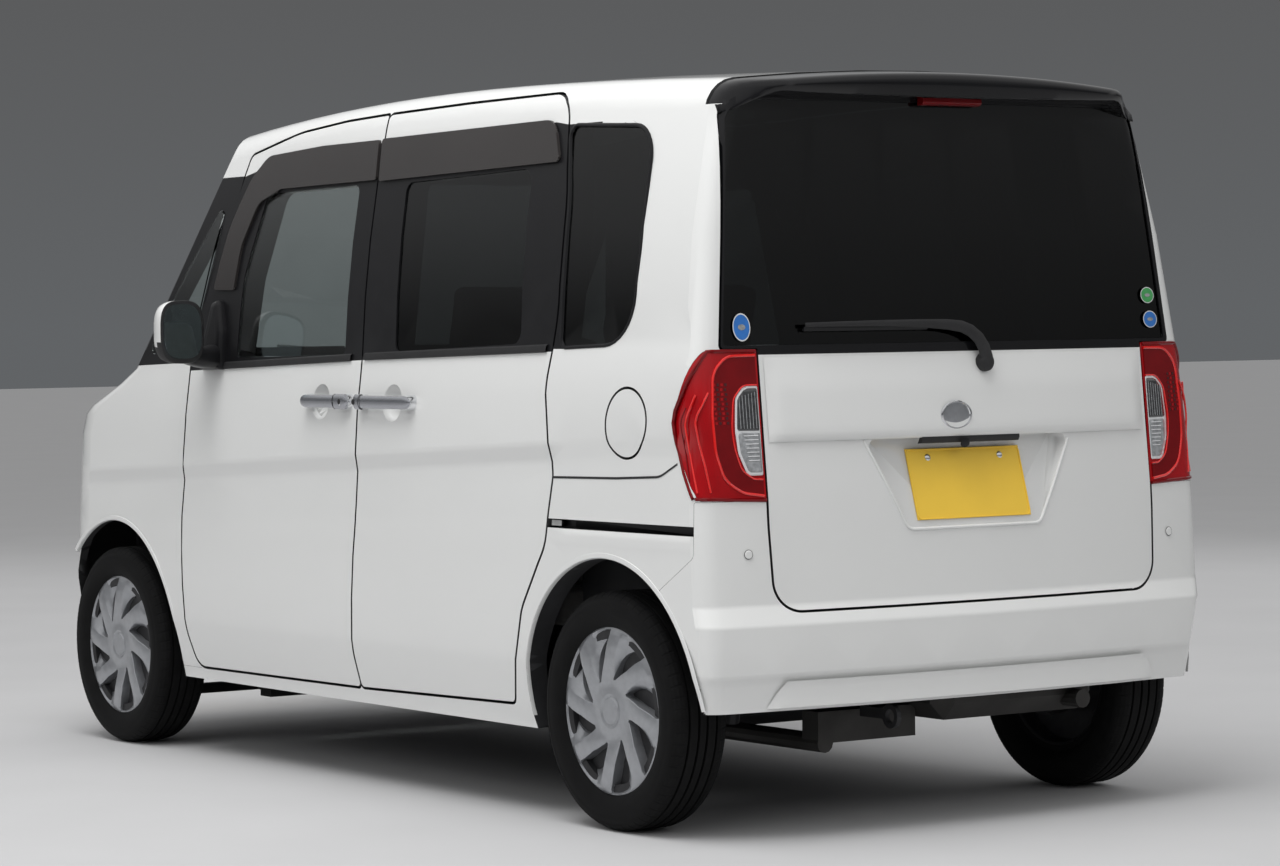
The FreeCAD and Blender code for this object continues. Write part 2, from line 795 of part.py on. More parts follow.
def build_floor():
    """Floor, kick-up, load floor, firewall, posts, chassis legs and wheel towers."""
    plate = box(-900, FIREWALL_X, -630, 630, FLOOR_Z - 18, FLOOR_Z)
    floor = plate.fuse(box(-918, -900, -540, 540, FLOOR_Z - 18, LOAD_FLOOR_Z))
    floor = floor.fuse(box(-1596, -900, -540, 540, LOAD_FLOOR_Z - 18, LOAD_FLOOR_Z))
    floor = floor.fuse(box(FIREWALL_X, FIREWALL_X + 16, -630, 630, FLOOR_Z - 18, 1030))
    floor = floor.fuse(box(1560, 1580, -470, 470, 330, 726))
    floor = floor.fuse(box(1560, 1580, -300, 300, 700, 850))
    floor = floor.fuse(box(-1596, -1580, -500, 500, LOAD_FLOOR_Z - 18, 500))
    for s in (1, -1):
        extra = [
            box(FIREWALL_X, 1580, 310, 370, 330, 410),
            box(POST_X, FIREWALL_X + 16, 600, 630, FLOOR_Z - 18, 300),
            box(POST_X, FIREWALL_X + 16, 600, 650, 300, 1030),
            hinge_leaf(HINGE_ZS[0]),
            hinge_leaf(HINGE_ZS[1]),
            box(FRONT_AXLE - 70, FRONT_AXLE + 70, 390, 640, 872, 890),
            box(FRONT_AXLE - 70, FRONT_AXLE + 70, 372, 392, 410, 890),
            box(FIREWALL_X, FRONT_AXLE - 60, 372, 640, 876, 890),
            box(FIREWALL_X + 16, 1580, 310, 330, 410, 440),
            box(-1560, -900, 540, 556, LOAD_FLOOR_Z - 18, 640),
            box(-1560, -900, 540, 640, 632, 650),
        ]
        for piece in extra:
            floor = floor.fuse(piece if s > 0 else mirror(piece))
    gate_in = rear_x(538) + WALL + SEAT_RUN
    floor = floor.fuse(box(-1600, -1590, -12, 12, 470, 545))
    floor = floor.fuse(box(gate_in, -1595, -12, 12, 522, 538))
    latch_x = 1500.0
    bonnet_in = front_z(latch_x + 10 + SKIN) - SEAT_RUN
    floor = floor.fuse(box(latch_x - 10, latch_x + 10, -12, 12, 800, bonnet_in))
    floor = floor.fuse(box(latch_x - 10, 1570, -12, 12, 800, 830))
    keep("floor", floor.removeSplitter())


def build_tow_eyes():
    """A ring on a bar at each end, under the bumpers."""
    eyes = []
    for x, y, z, back, top in TOW_EYES:
        half = TOW_EYE_T / 2
        eye = ring([(0, -half), (TOW_EYE_R + 12, -half), (TOW_EYE_R + 12, half), (0, half)], 16)
        hole = tube_y(x, z, TOW_EYE_R, y - 20, y + 20)
        eye.translate(v(x, y, z))
        bar = box(*sorted((x, x + back)), y - half, y + half, z - 8, z + 16)
        eye = eye.fuse(bar)
        post = x + back - math.copysign(24, back)
        ends = sorted((post, x + back))
        eye = eye.fuse(box(*ends, y - half, y + half, z, top - 0.3))
        eyes.append(eye.cut(hole).removeSplitter())
    keep("tow_eyes", *eyes)


def build_seats():
    """Front seats, rear seat, dashboard and steering wheel."""
    def seat(x, y, w):
        base = box(x + 40, x + 380, y - w / 2 + 60, y + w / 2 - 60, FLOOR_Z + 0.5, FLOOR_Z + 190)
        cushion = soft_box(x, x + 470, y - w / 2, y + w / 2, FLOOR_Z + 190, FLOOR_Z + 320, 40)
        back = soft_box(-130, 0, y - w / 2, y + w / 2, 0, 620, 45)
        head = soft_box(-105, -25, y - 130, y + 130, 630, 800, 30)
        stem = box(-75, -55, y - 60, y + 60, 600, 650)
        back = back.fuse(head).fuse(stem)
        back.rotate(v(0, y, 0), v(0, 1, 0), -14)
        back.translate(v(x + 20, 0, FLOOR_Z + 240))
        return base.fuse(cushion).fuse(back).removeSplitter()

    keep("front_seats", seat(30, SEAT_Y, SEAT_W), seat(30, -SEAT_Y, SEAT_W))
    base = box(-860, -500, -500, 500, FLOOR_Z + 0.5, FLOOR_Z + 180)
    bench = soft_box(-900, -430, -600, 600, FLOOR_Z + 180, FLOOR_Z + 310, 40)
    back = soft_box(-110, 0, -530, 530, 0, 560, 40)
    for y in (-SEAT_Y, SEAT_Y):
        back = back.fuse(soft_box(-95, -25, y - 125, y + 125, 570, 720, 28))
        back = back.fuse(box(-70, -50, y - 50, y + 50, 540, 590))
    back.rotate(v(0, 0, 0), v(0, 1, 0), -10)
    back.translate(v(-850, 0, FLOOR_Z + 245))
    keep("rear_seat", base.fuse(bench).fuse(back).removeSplitter())

    panel = [(640, 800), (700, 1000), (FIREWALL_X - 0.3, 1034), (FIREWALL_X - 0.3, 760), (700, 740)]
    wire = Part.makePolygon([v(x, -594, z) for x, z in panel + [panel[0]]])
    dash = Part.Face(wire).extrude(v(0, 1188, 0))
    lean = math.radians(COLUMN_LEAN)
    axis = v(-math.cos(lean), 0, math.sin(lean))
    at = v(*COLUMN_AT)
    column = Part.makeCylinder(32, 260, at - axis * 300, axis)
    column = column.cut(Part.makeCylinder(11 + RUNNING_FIT, 50, at - axis * 80, axis))
    keep("dashboard", dash.fuse(column).removeSplitter())
    grip = [(WHEEL_RIM_R + 15 * math.cos(a), 15 * math.sin(a)) for a in [i * math.pi / 3 for i in range(6)]]
    rim = ring(grip, 28)
    rim.Placement = FreeCAD.Placement(at, FreeCAD.Rotation(v(0, 1, 0), axis))
    hub = rod(at - axis * 34, at, 48, 16)
    hub = hub.fuse(Part.makeCylinder(11, 60, at - axis * 70, axis))
    wheel = rim.fuse(hub)
    side = v(0, 1, 0)
    down = axis.cross(side)
    for way in (side, side * -1, down if down.z < 0 else down * -1):
        wheel = wheel.fuse(rod(at - axis * 14, at - axis * 8 + way * WHEEL_RIM_R, 11, 8))
    keep("steering_wheel", biggest(wheel))


class Skins:
    """One stretch of the body as an outside and a row of insides at different depths."""

    def __init__(self, x0, x1, nose=False, tail=False):
        self.zone = box(x0, x1, -900, 900, 0, 2000)
        self.nose = nose
        self.tail = tail
        self.made = {}

    def at(self, inset, roof_inset=None):
        key = (inset, roof_inset)
        if key not in self.made:
            whole = side_solid(inset, inset if roof_inset is None else roof_inset)
            whole = whole.common(self.zone)
            if self.nose:
                whole = whole.common(front_solid(inset))
            if self.tail:
                whole = whole.common(rear_solid(inset))
            self.made[key] = whole
        return self.made[key]

    def piece(self, prism, outer, inner, roof_inset=None):
        """The part of the wall between two depths that lies in a prism."""
        return self.at(outer).common(prism).cut(self.at(inner, roof_inset))


def hinge_leaf(z):
    """A goose-neck leaf from the front post to the pin inside the front door."""
    x = DOOR_HINGE_X
    y = DOOR_HINGE_Y
    leaf = box(x - 6, x + 6, HINGE_POST_Y, y, z - 20, z + 20)
    leaf = leaf.fuse(box(x - 6, POST_X + 2, HINGE_POST_Y, HINGE_POST_Y + 12, z - 20, z + 20))
    leaf = leaf.fuse(rod(v(x, y, z - 20), v(x, y, z + 20), HINGE_PIN_R + 1.4, 10))
    return leaf.fuse(Part.makeCylinder(HINGE_PIN_R, 100, v(x, y, z - 50))).removeSplitter()


def hinge_pocket(z):
    """The room in the door round one leaf, with the bores for its pin."""
    x = DOOR_HINGE_X
    y = DOOR_HINGE_Y
    room = box(x - 13, x + 90, 600, y + HINGE_PIN_R + 1.9, z - 26, z + 26)
    return room.fuse(Part.makeCylinder(HINGE_PIN_R + RUNNING_FIT, 104, v(x, y, z - 52)))


def handle_cup(x, y):
    """The hollow behind a handle."""
    cup = ring([(0, y - 24), (26, y - 20), (42, y - 8), (50, y + 10), (0, y + 10)], 20)
    cup.translate(v(x, 0, HANDLE_Z))
    return cup


def build_doors(middle):
    """Front doors, sliding doors and what rides on them."""
    near = side_solid(-SEAT_GAP, -SEAT_GAP)
    y = side_y(0, HANDLE_Z)
    front = side_prism(front_door_outline(), 0, 560)
    door = middle.piece(front.cut(side_prism(FRONT_WINDOW)), 0, WALL, ROOF_WALL)
    for z in HINGE_ZS:
        door = door.cut(hinge_pocket(z))
    door = door.cut(handle_cup(HANDLES[0][2], y))
    pane = middle.piece(side_prism(FRONT_WINDOW, -SEAT_GAP, 560), GLASS_SET, GLASS_SET + GLASS)
    bar = handle(HANDLES[0][0], HANDLES[0][1], y, HANDLE_Z).cut(near)
    shade = middle.piece(side_prism(FRONT_VISOR, 0, 560), -8.0, -SEAT_GAP)
    x, y0, y1, z0, z1 = MIRROR_BOX
    head = soft_box(x, x + MIRROR_T, y0, y1, z0, z1, 30)
    foot = box(x + 10, x + MIRROR_T - 10, 660, y0 + 30, z0 + 25, z0 + 65).cut(near)
    head = head.fuse(foot)
    for hand, pick in (("left", lambda s: s), ("right", mirror)):
        keep(f"front_door_{hand}", pick(biggest(door)))
        keep(f"front_door_glass_{hand}", pick(biggest(pane)))
        keep(f"front_door_handle_{hand}", pick(biggest(bar)))
        keep(f"front_visor_{hand}", pick(biggest(shade)))
        keep(f"mirror_{hand}", pick(biggest(head)))

    slide_prism = side_prism(slide_door_outline(), 0, 560).cut(side_prism(SLIDE_WINDOW))
    slide = middle.piece(slide_prism, 0, WALL, ROOF_WALL).cut(arches(REAR_AXLE, WHEELHOUSE_R))
    slide = slide.cut(handle_cup(HANDLES[1][2], y))
    x, (low, high) = RAIL_SLOT_X[1], RAIL_SLOT_Z
    arm = box(x - 30, x + 26, RAIL_SLOT_Y + SEAT_GAP, 718, low + 4, high - 4)
    slide = biggest(slide.fuse(arm))
    keep("sliding_doors", slide, mirror(slide))
    bar = biggest(handle(HANDLES[1][0], HANDLES[1][1], y, HANDLE_Z).cut(near))
    keep("sliding_door_handles", bar, mirror(bar))
    shade = biggest(middle.piece(side_prism(REAR_VISOR, 0, 560), -8.0, -SEAT_GAP))
    keep("rear_visors", shade, mirror(shade))
    pane = middle.piece(side_prism(SLIDE_WINDOW, -SEAT_GAP, 560), GLASS_SET, GLASS_SET + GLASS)
    return biggest(pane)


def build_sides(slide_pane):
    """The body sides with their pillars, sills, quarter panels and side glass."""
    whole = body(0)
    zone = box(-2000, 1190, ROOF_HALF + SEAM, 900, SILL_BOTTOM, 2000)
    doors = side_prism(front_door_outline(), DOOR_GAP).fuse(side_prism(slide_door_outline(), DOOR_GAP))
    zone = zone.cut(doors).cut(side_prism(FENDER, SEAM))
    zone = zone.cut(side_prism(TAIL_LAMP, SEAM, 556)).cut(side_prism(REAR_BUMPER, SEAM, -900))
    zone = zone.cut(side_prism(QUARTER_WINDOW)).cut(side_prism(FRONT_QUARTER))
    zone = zone.cut(rear_prism(TAILGATE, -2000, TAILGATE_FRONT_X + PANEL_GAP, PANEL_GAP))
    zone = zone.cut(box(-2000, TAILGATE_FRONT_X + PANEL_GAP, -900, 900, 1630, 2000))
    zone = zone.cut(rear_prism(WINDSCREEN, 300, 1400, SEAT_GAP))
    zone = zone.cut(arches(REAR_AXLE, ARCH_R)).cut(arches(FRONT_AXLE, ARCH_R))
    slot = box(RAIL_SLOT_X[0], RAIL_SLOT_X[1] + 26, RAIL_SLOT_Y, 900, RAIL_SLOT_Z[0], RAIL_SLOT_Z[1])
    zone = biggest(zone.cut(slot))
    side = whole.common(zone).cut(body(WALL, ROOF_WALL))
    side = biggest(side)
    keep("body_side_right", mirror(side))
    y = side_y(FUEL_LID_X, FUEL_LID_Z)
    pocket = tube_y(FUEL_LID_X, FUEL_LID_Z, FUEL_LID_R + PANEL_GAP, y - 40, 900)
    side = biggest(side.cut(pocket))
    cap = rod(v(FUEL_LID_X, y - 42, FUEL_LID_Z), v(FUEL_LID_X, y - 8.9, FUEL_LID_Z), 30, 12)
    keep("body_side_left", biggest(side.fuse(cap)))

    tail = Skins(-1850, -900, tail=True)
    lid = tube_y(FUEL_LID_X, FUEL_LID_Z, FUEL_LID_R, 600, 900)
    keep("fuel_lid", biggest(tail.piece(lid, 0, 5.0)))
    pane = side_prism(QUARTER_WINDOW, -SEAT_GAP, 560)
    rear_pane = biggest(tail.piece(pane, GLASS_SET, GLASS_SET + GLASS))
    keep("privacy_glass", rear_pane, slide_pane, mirror(rear_pane), mirror(slide_pane))
    return tail


def build_front(middle):
    """Windscreen, roof, fenders, bonnet, bumper, headlamps, grille and cowl."""
    nose = Skins(560, 1800, nose=True)
    pane = side_prism(FRONT_QUARTER, -SEAT_GAP, 560)
    pane = biggest(middle.piece(pane, GLASS_SET, GLASS_SET + GLASS))
    keep("front_quarter_glass", pane, mirror(pane))
    screen = rear_prism(WINDSCREEN, 300, 1400)
    keep("windscreen", biggest(nose.piece(screen, GLASS_SET, GLASS_SET + GLASS)))
    roof = box(ROOF_BACK, 560, -ROOF_HALF, ROOF_HALF, 1500, 2000)
    roof = middle.piece(roof, 0, WALL, ROOF_WALL)
    header = box(560, 840, -ROOF_HALF, ROOF_HALF, 1500, 2000)
    header = header.cut(rear_prism(WINDSCREEN, 300, 1400, SEAT_GAP))
    roof = roof.fuse(nose.piece(header, 0, WALL, ROOF_WALL)).removeSplitter()
    keep("roof", biggest(roof))

    bumper_hole = side_prism(FRONT_BUMPER, SEAM, -900)
    arch = arches(FRONT_AXLE, ARCH_R)
    fender = side_prism(FENDER, 0, BONNET_HALF + PANEL_GAP)
    fender = fender.cut(box(0, 2000, -900, 900, 0, SILL_BOTTOM))
    fender = fender.cut(side_prism(front_door_outline(), DOOR_GAP, 200))
    fender = fender.cut(side_prism(HEADLAMP, SEAM, 326)).cut(bumper_hole).cut(arch)
    fender = biggest(nose.piece(fender, 0, SKIN))
    keep("fenders", fender, mirror(fender))
    bonnet = box(BONNET_BACK, 2000, -BONNET_HALF, BONNET_HALF, BONNET_LOW, 1500)
    lamp_room = side_prism(HEADLAMP, PANEL_GAP, 324)
    bonnet = bonnet.cut(lamp_room).cut(mirror(lamp_room))
    keep("bonnet", biggest(nose.piece(bonnet, 0, SKIN)))
    bumper = side_prism(FRONT_BUMPER, 0, -900).common(box(1300, 2000, -900, 900, 200, 2000))
    keep("front_bumper", biggest(nose.piece(bumper.cut(arch), 0, SKIN)))
    lamp = biggest(nose.piece(side_prism(HEADLAMP, 0, 330), 0, SKIN))
    keep("headlamps", lamp, mirror(lamp))
    grille = box(1300, 2000, -322, 322, 730 + SEAM, BONNET_LOW - PANEL_GAP)
    keep("grille", biggest(nose.piece(grille, 0, SKIN)))
    cowl = box(1185, BONNET_BACK - PANEL_GAP, -BONNET_HALF, BONNET_HALF, 950, 1062)
    corner = box(1100, 1190 + SEAT_RUN, 500, 700, 900, 1100)
    cowl = cowl.cut(corner).cut(mirror(corner))
    cowl = cowl.cut(rear_prism(WINDSCREEN, 300, 1400, SEAT_GAP))
    keep("cowl", biggest(nose.piece(cowl, 0, SKIN)))
    post = box(1200, 1216, 480, 520, 880, 1100).common(nose.at(SKIN + SEAT_RUN))
    rest = box(-300, -260, 600, 720, 212, 230).common(middle.at(WALL + SEAT_RUN))
    floor = PARTS["floor"]
    for piece in (post, rest):
        floor = floor.fuse(piece).fuse(mirror(piece))
    keep("floor", biggest(floor.removeSplitter()))


def build_tail(tail):
    """Rear bumper, tail lamps, tailgate with its glass, and the roof's end piece."""
    gate_hole = rear_prism(TAILGATE, -2000, TAILGATE_FRONT_X + PANEL_GAP, PANEL_GAP)
    bumper = side_prism(REAR_BUMPER, 0, -900).common(box(-2000, 0, -900, 900, 290, 2000))
    bumper = bumper.cut(gate_hole).cut(arches(REAR_AXLE, ARCH_R))
    keep("rear_bumper", biggest(tail.piece(bumper, 0, SKIN)))
    lamp = biggest(tail.piece(side_prism(TAIL_LAMP, 0, 562), 0, SKIN))
    keep("tail_lamps", lamp, mirror(lamp))
    gate = rear_prism(TAILGATE, -2000, TAILGATE_FRONT_X)
    gate = gate.cut(rear_prism(REAR_WINDOW, -2000, -1400))
    lean = math.tan(math.radians(REAR_PLATE_LEAN))
    back = [REAR_PLATE_X + 1 + (z - REAR_PLATE_Z) * lean for z in (600, 900)]
    wedge = [v(-1900, -400, 600), v(back[0], -400, 600), v(back[1], -400, 900), v(-1900, -400, 900)]
    wedge = Part.Face(Part.makePolygon(wedge + wedge[:1])).extrude(v(0, 800, 0))
    gate = gate.cut(rear_prism(PLATE_RECESS, -2000, -1500).common(wedge))
    keep("tailgate", biggest(tail.piece(gate, 0, WALL, WALL)))
    window = rear_prism(REAR_WINDOW, -2000, TAILGATE_FRONT_X, -SEAT_GAP)
    keep("tailgate_glass", biggest(tail.piece(window, GLASS_SET, GLASS_SET + GLASS)))
    cap = side_solid(0, 0).common(rear_solid(-55.0))
    front = TAILGATE_FRONT_X - 3
    rim = [(front, 1660), (front, 1800), (-1800, 1800), (-1800, 1648), (-1560, 1652.6)]
    rim = [v(x, -900, z) for x, z in rim]
    rim = Part.Face(Part.makePolygon(rim + rim[:1])).extrude(v(0, 1800, 0))
    keep("spoiler", biggest(cap.common(rim)))


def build_body():
    middle = Skins(-1600, 1200)
    pane = build_doors(middle)
    tail = build_sides(pane)
    build_front(middle)
    build_tail(tail)


def build_trim():
    """Plates and wipers."""
    plate = Part.makeBox(PLATE_T, PLATE_W, PLATE_H, v(-PLATE_T, -PLATE_W / 2, -PLATE_H / 2))
    rear = plate.copy()
    rear.rotate(v(0, 0, 0), v(0, 1, 0), REAR_PLATE_LEAN)
    rear.translate(v(REAR_PLATE_X, 0, REAR_PLATE_Z))
    keep("rear_plate", rear)
    front = plate.copy()
    front.translate(v(FRONT_X, 0, 350))
    keep("front_plate", front)
    pts = [v(-1660, -50, 1053), v(-1652, 15, 1134), v(-1650, 443, 1139)]
    arm = rod(v(-1682, -50, 1053), v(-1649.3, -50, 1053), 20)
    for p, q, r in ((pts[0], pts[1], 8), (pts[1], pts[2], 7)):
        p = p + v(-14, 0, 0)
        q = q + v(-14, 0, 0)
        arm = arm.fuse(rod(p, q, r, 8))
    keep("rear_wiper", arm)
    wipers = []
    near = front_solid(-SEAT_GAP)
    for y0, y1 in ((-330, 190), (230, 560)):
        steps = [i / 4 for i in range(5)]
        row = [(y0 + (y1 - y0) * t, 1060 + 36 * t) for t in steps]
        row = [v(front_x(y, z - 4) + 13, y, z) for y, z in row]
        bow = FRONT_TURN - math.sqrt(FRONT_TURN**2 - y0 * y0)
        x = min(front_x(y0, 1036.5), 1242.5)
        pivot = v(x, y0, front_z(x - 9 + bow) - 5)
        blade = rod(pivot, pivot + v(0, 0, 25), 9, 8).fuse(rod(pivot + v(0, 0, 20), row[0], 6, 8))
        for p, q in zip(row, row[1:]):
            blade = blade.fuse(rod(p, q, 5, 8))
        wipers.append(biggest(blade.cut(near).removeSplitter()))
    keep("front_wipers", *wipers)


def main():
    build_wheels()
    build_running_gear()
    build_floor()
    build_tow_eyes()
    build_seats()
    build_body()
    build_trim()
    os.makedirs("parts", exist_ok=True)
    for name, shape in PARTS.items():
        shape.exportStep(f"parts/{name}.step")


main()
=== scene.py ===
"""Looks of the kei car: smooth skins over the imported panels, glass, lamps, wheels, trim and cabin.

Lengths are in millimetres in the CAD frame; meshes are made in metres.
"""
import json
import math

import bmesh
import bpy
import numpy as np
from mathutils import Matrix, Vector
from mathutils.bvhtree import BVHTree
from mathutils.geometry import delaunay_2d_cdt


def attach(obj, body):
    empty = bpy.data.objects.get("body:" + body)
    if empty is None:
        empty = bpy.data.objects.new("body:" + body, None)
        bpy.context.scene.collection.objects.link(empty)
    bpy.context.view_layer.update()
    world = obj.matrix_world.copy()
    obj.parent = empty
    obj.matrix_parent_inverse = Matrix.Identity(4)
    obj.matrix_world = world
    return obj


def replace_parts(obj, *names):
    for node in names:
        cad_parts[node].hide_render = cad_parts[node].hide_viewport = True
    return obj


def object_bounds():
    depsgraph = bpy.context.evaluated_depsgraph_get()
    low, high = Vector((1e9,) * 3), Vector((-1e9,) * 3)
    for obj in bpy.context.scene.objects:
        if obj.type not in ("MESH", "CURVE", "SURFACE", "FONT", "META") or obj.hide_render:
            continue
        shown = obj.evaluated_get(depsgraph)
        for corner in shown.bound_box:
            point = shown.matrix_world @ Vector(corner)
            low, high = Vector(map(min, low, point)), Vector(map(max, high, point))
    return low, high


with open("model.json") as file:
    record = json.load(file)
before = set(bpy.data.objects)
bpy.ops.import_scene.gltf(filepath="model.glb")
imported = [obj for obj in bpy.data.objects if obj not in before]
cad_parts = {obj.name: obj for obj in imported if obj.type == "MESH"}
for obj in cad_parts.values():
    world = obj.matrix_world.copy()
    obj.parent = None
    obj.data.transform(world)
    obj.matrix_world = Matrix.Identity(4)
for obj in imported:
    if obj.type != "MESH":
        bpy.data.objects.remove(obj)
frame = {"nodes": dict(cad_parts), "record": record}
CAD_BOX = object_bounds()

MM = 0.001
NODES = frame["nodes"]
BODY_OF = {node: body for body, nodes in frame["record"]["behaviour"]["bodies"].items() for node in nodes}

REAR_X, FRONT_X = (round(corner[0] / MM, 1) for corner in CAD_BOX)
HALF_WIDTH = 737.5
AXLE_X = {"front": 1207.5, "rear": -1247.5}
TRACK = 1300.0
TYRE_R = 272.0
TYRE_HALF = 77.5
ARCH_R = 351.0
NOSE_TURN = 2300.0
TAIL_TURN = 5000.0
CORNER_R = 50.0
# A plan outline's gap to the side's line, and the numbers of points in a row of each kind of form
PLAN_GAP = 1.5
PLAN_POINTS = 70
SIDE_POINTS = 260
# The rear edge of the sliding doors, and the top of the pressed lines
QUARTER_X = -1043
PRESSED_TOP = 1000

# The side's lines: inset, height, climb in each metre, bulge of the stretch below
SECTION = [(45, 205, 0, 0), (33, 250, 0, 0), (10, 366, 0, 0), (10.5, 781, -50, 9), (4, 824, -50, 0),
           (30, 1072, -28, 5)]
# The roof rail: inset, height, bulge below it, corner radius, radius of the roof's crown
RAIL = (122.0, 1610.0, 13.0, 88.0, 5200.0)
# Along the car: place, extra inset, height of the crown
STATIONS = [(-1850, 9, 1700), (-500, 0, 1750), (500, 3.5, 1714), (1850, 16, 1480)]
# Nose, screen and tail from the foot up: distance from the end, height and, in front, corner radius
NOSE_ROWS = [(66, 130, 200), (6, 215, 235), (2.6, 345, 240), (6, 442, 240), (26, 650, 240), (48, 857, 230),
             (72, 912, 220), (120, 935, 200), (335, 999, 120), (443, 1040, 80), (500, 1061, 78)]
SCREEN_ROWS = [(400, 985, 80), (443, 1040, 80), (871.5, 1583, 70), (1122, 1900, 70)]
TAIL_ROWS = [(60, 90), (26, 298), (13, 352), (3, 368), (0, 480), (8, 525), (20, 757), (33, 887), (51, 1068),
             (78, 1340), (106, 1612), (136, 1990)]


# Materials

def new_material(name):
    """A node material with its nodes, its links and its shader."""
    material = bpy.data.materials.new(name)
    material.use_nodes = True
    tree = material.node_tree
    return material, tree.nodes, tree.links, tree.nodes["Principled BSDF"]


def texture(nodes, links, kind, scale, detail=None):
    """A pattern fixed to the object."""
    where = nodes.new("ShaderNodeTexCoord")
    pattern = nodes.new(kind)
    pattern.inputs["Scale"].default_value = scale
    if detail is not None:
        pattern.inputs["Detail"].default_value = detail
    links.new(where.outputs["Object"], pattern.inputs["Vector"])
    return pattern


def tint(nodes, links, shader, noise, color, vary, ends):
    """Let the colour vary with noise between two places on a ramp."""
    ramp = nodes.new("ShaderNodeValToRGB")
    for element, sign, place in zip(ramp.color_ramp.elements, (-1, 1), ends):
        element.color = (*np.clip(np.array(color) * (1 + sign * vary), 0, 1), 1)
        element.position = place
    links.new(noise.outputs["Fac"], ramp.inputs["Fac"])
    links.new(ramp.outputs["Color"], shader.inputs["Base Color"])


def grain(nodes, links, shader, height, strength, distance):
    """Lift the surface with a pattern."""
    lift = nodes.new("ShaderNodeBump")
    lift.inputs["Strength"].default_value = strength
    lift.inputs["Distance"].default_value = distance
    links.new(height, lift.inputs["Height"])
    links.new(lift.outputs["Normal"], shader.inputs["Normal"])


def finish(name, color, rough=0.5, metal=0.0, vary=0.08, scale=30.0, bump=0.0, bump_scale=400.0,
           rough_vary=0.06, **sockets):
    """A procedural finish: colour and roughness vary with noise, and fine grain lifts the surface."""
    material, nodes, links, shader = new_material(name)
    noise = texture(nodes, links, "ShaderNodeTexNoise", scale, 5)
    tint(nodes, links, shader, noise, color, vary, (0.3, 0.7))
    shader.inputs["Metallic"].default_value = metal
    if rough_vary:
        spread = nodes.new("ShaderNodeMapRange")
        spread.inputs["To Min"].default_value = max(rough - rough_vary, 0.0)
        spread.inputs["To Max"].default_value = min(rough + rough_vary, 1.0)
        links.new(noise.outputs["Fac"], spread.inputs["Value"])
        links.new(spread.outputs["Result"], shader.inputs["Roughness"])
    else:
        shader.inputs["Roughness"].default_value = rough
    if bump:
        fine = texture(nodes, links, "ShaderNodeTexNoise", bump_scale, 2)
        grain(nodes, links, shader, fine.outputs["Fac"], bump, 0.001)
    for key, value in sockets.items():
        shader.inputs[key.replace("_", " ")].default_value = value
    return material


def fabric(name, color):
    """Woven cloth with a soft sheen."""
    material, nodes, links, shader = new_material(name)
    weave = texture(nodes, links, "ShaderNodeTexVoronoi", 900)
    tint(nodes, links, shader, texture(nodes, links, "ShaderNodeTexNoise", 60), color, 0.25, (0, 1))
    grain(nodes, links, shader, weave.outputs["Distance"], 0.5, 0.0006)
    shader.inputs["Roughness"].default_value = 0.9
    shader.inputs["Sheen Weight"].default_value = 0.25
    return material


def glass(name, color):
    return finish(name, color, rough=0.0, vary=0.03, scale=3, rough_vary=0, Transmission_Weight=1.0, IOR=1.45)


def lamp(name, color, rough, vary, scale, rough_vary=0.05, **sockets):
    """A coated lamp plastic."""
    sockets.setdefault("Coat_Weight", 1.0)
    return finish(name, color, rough=rough, vary=vary, scale=scale, rough_vary=rough_vary, **sockets)


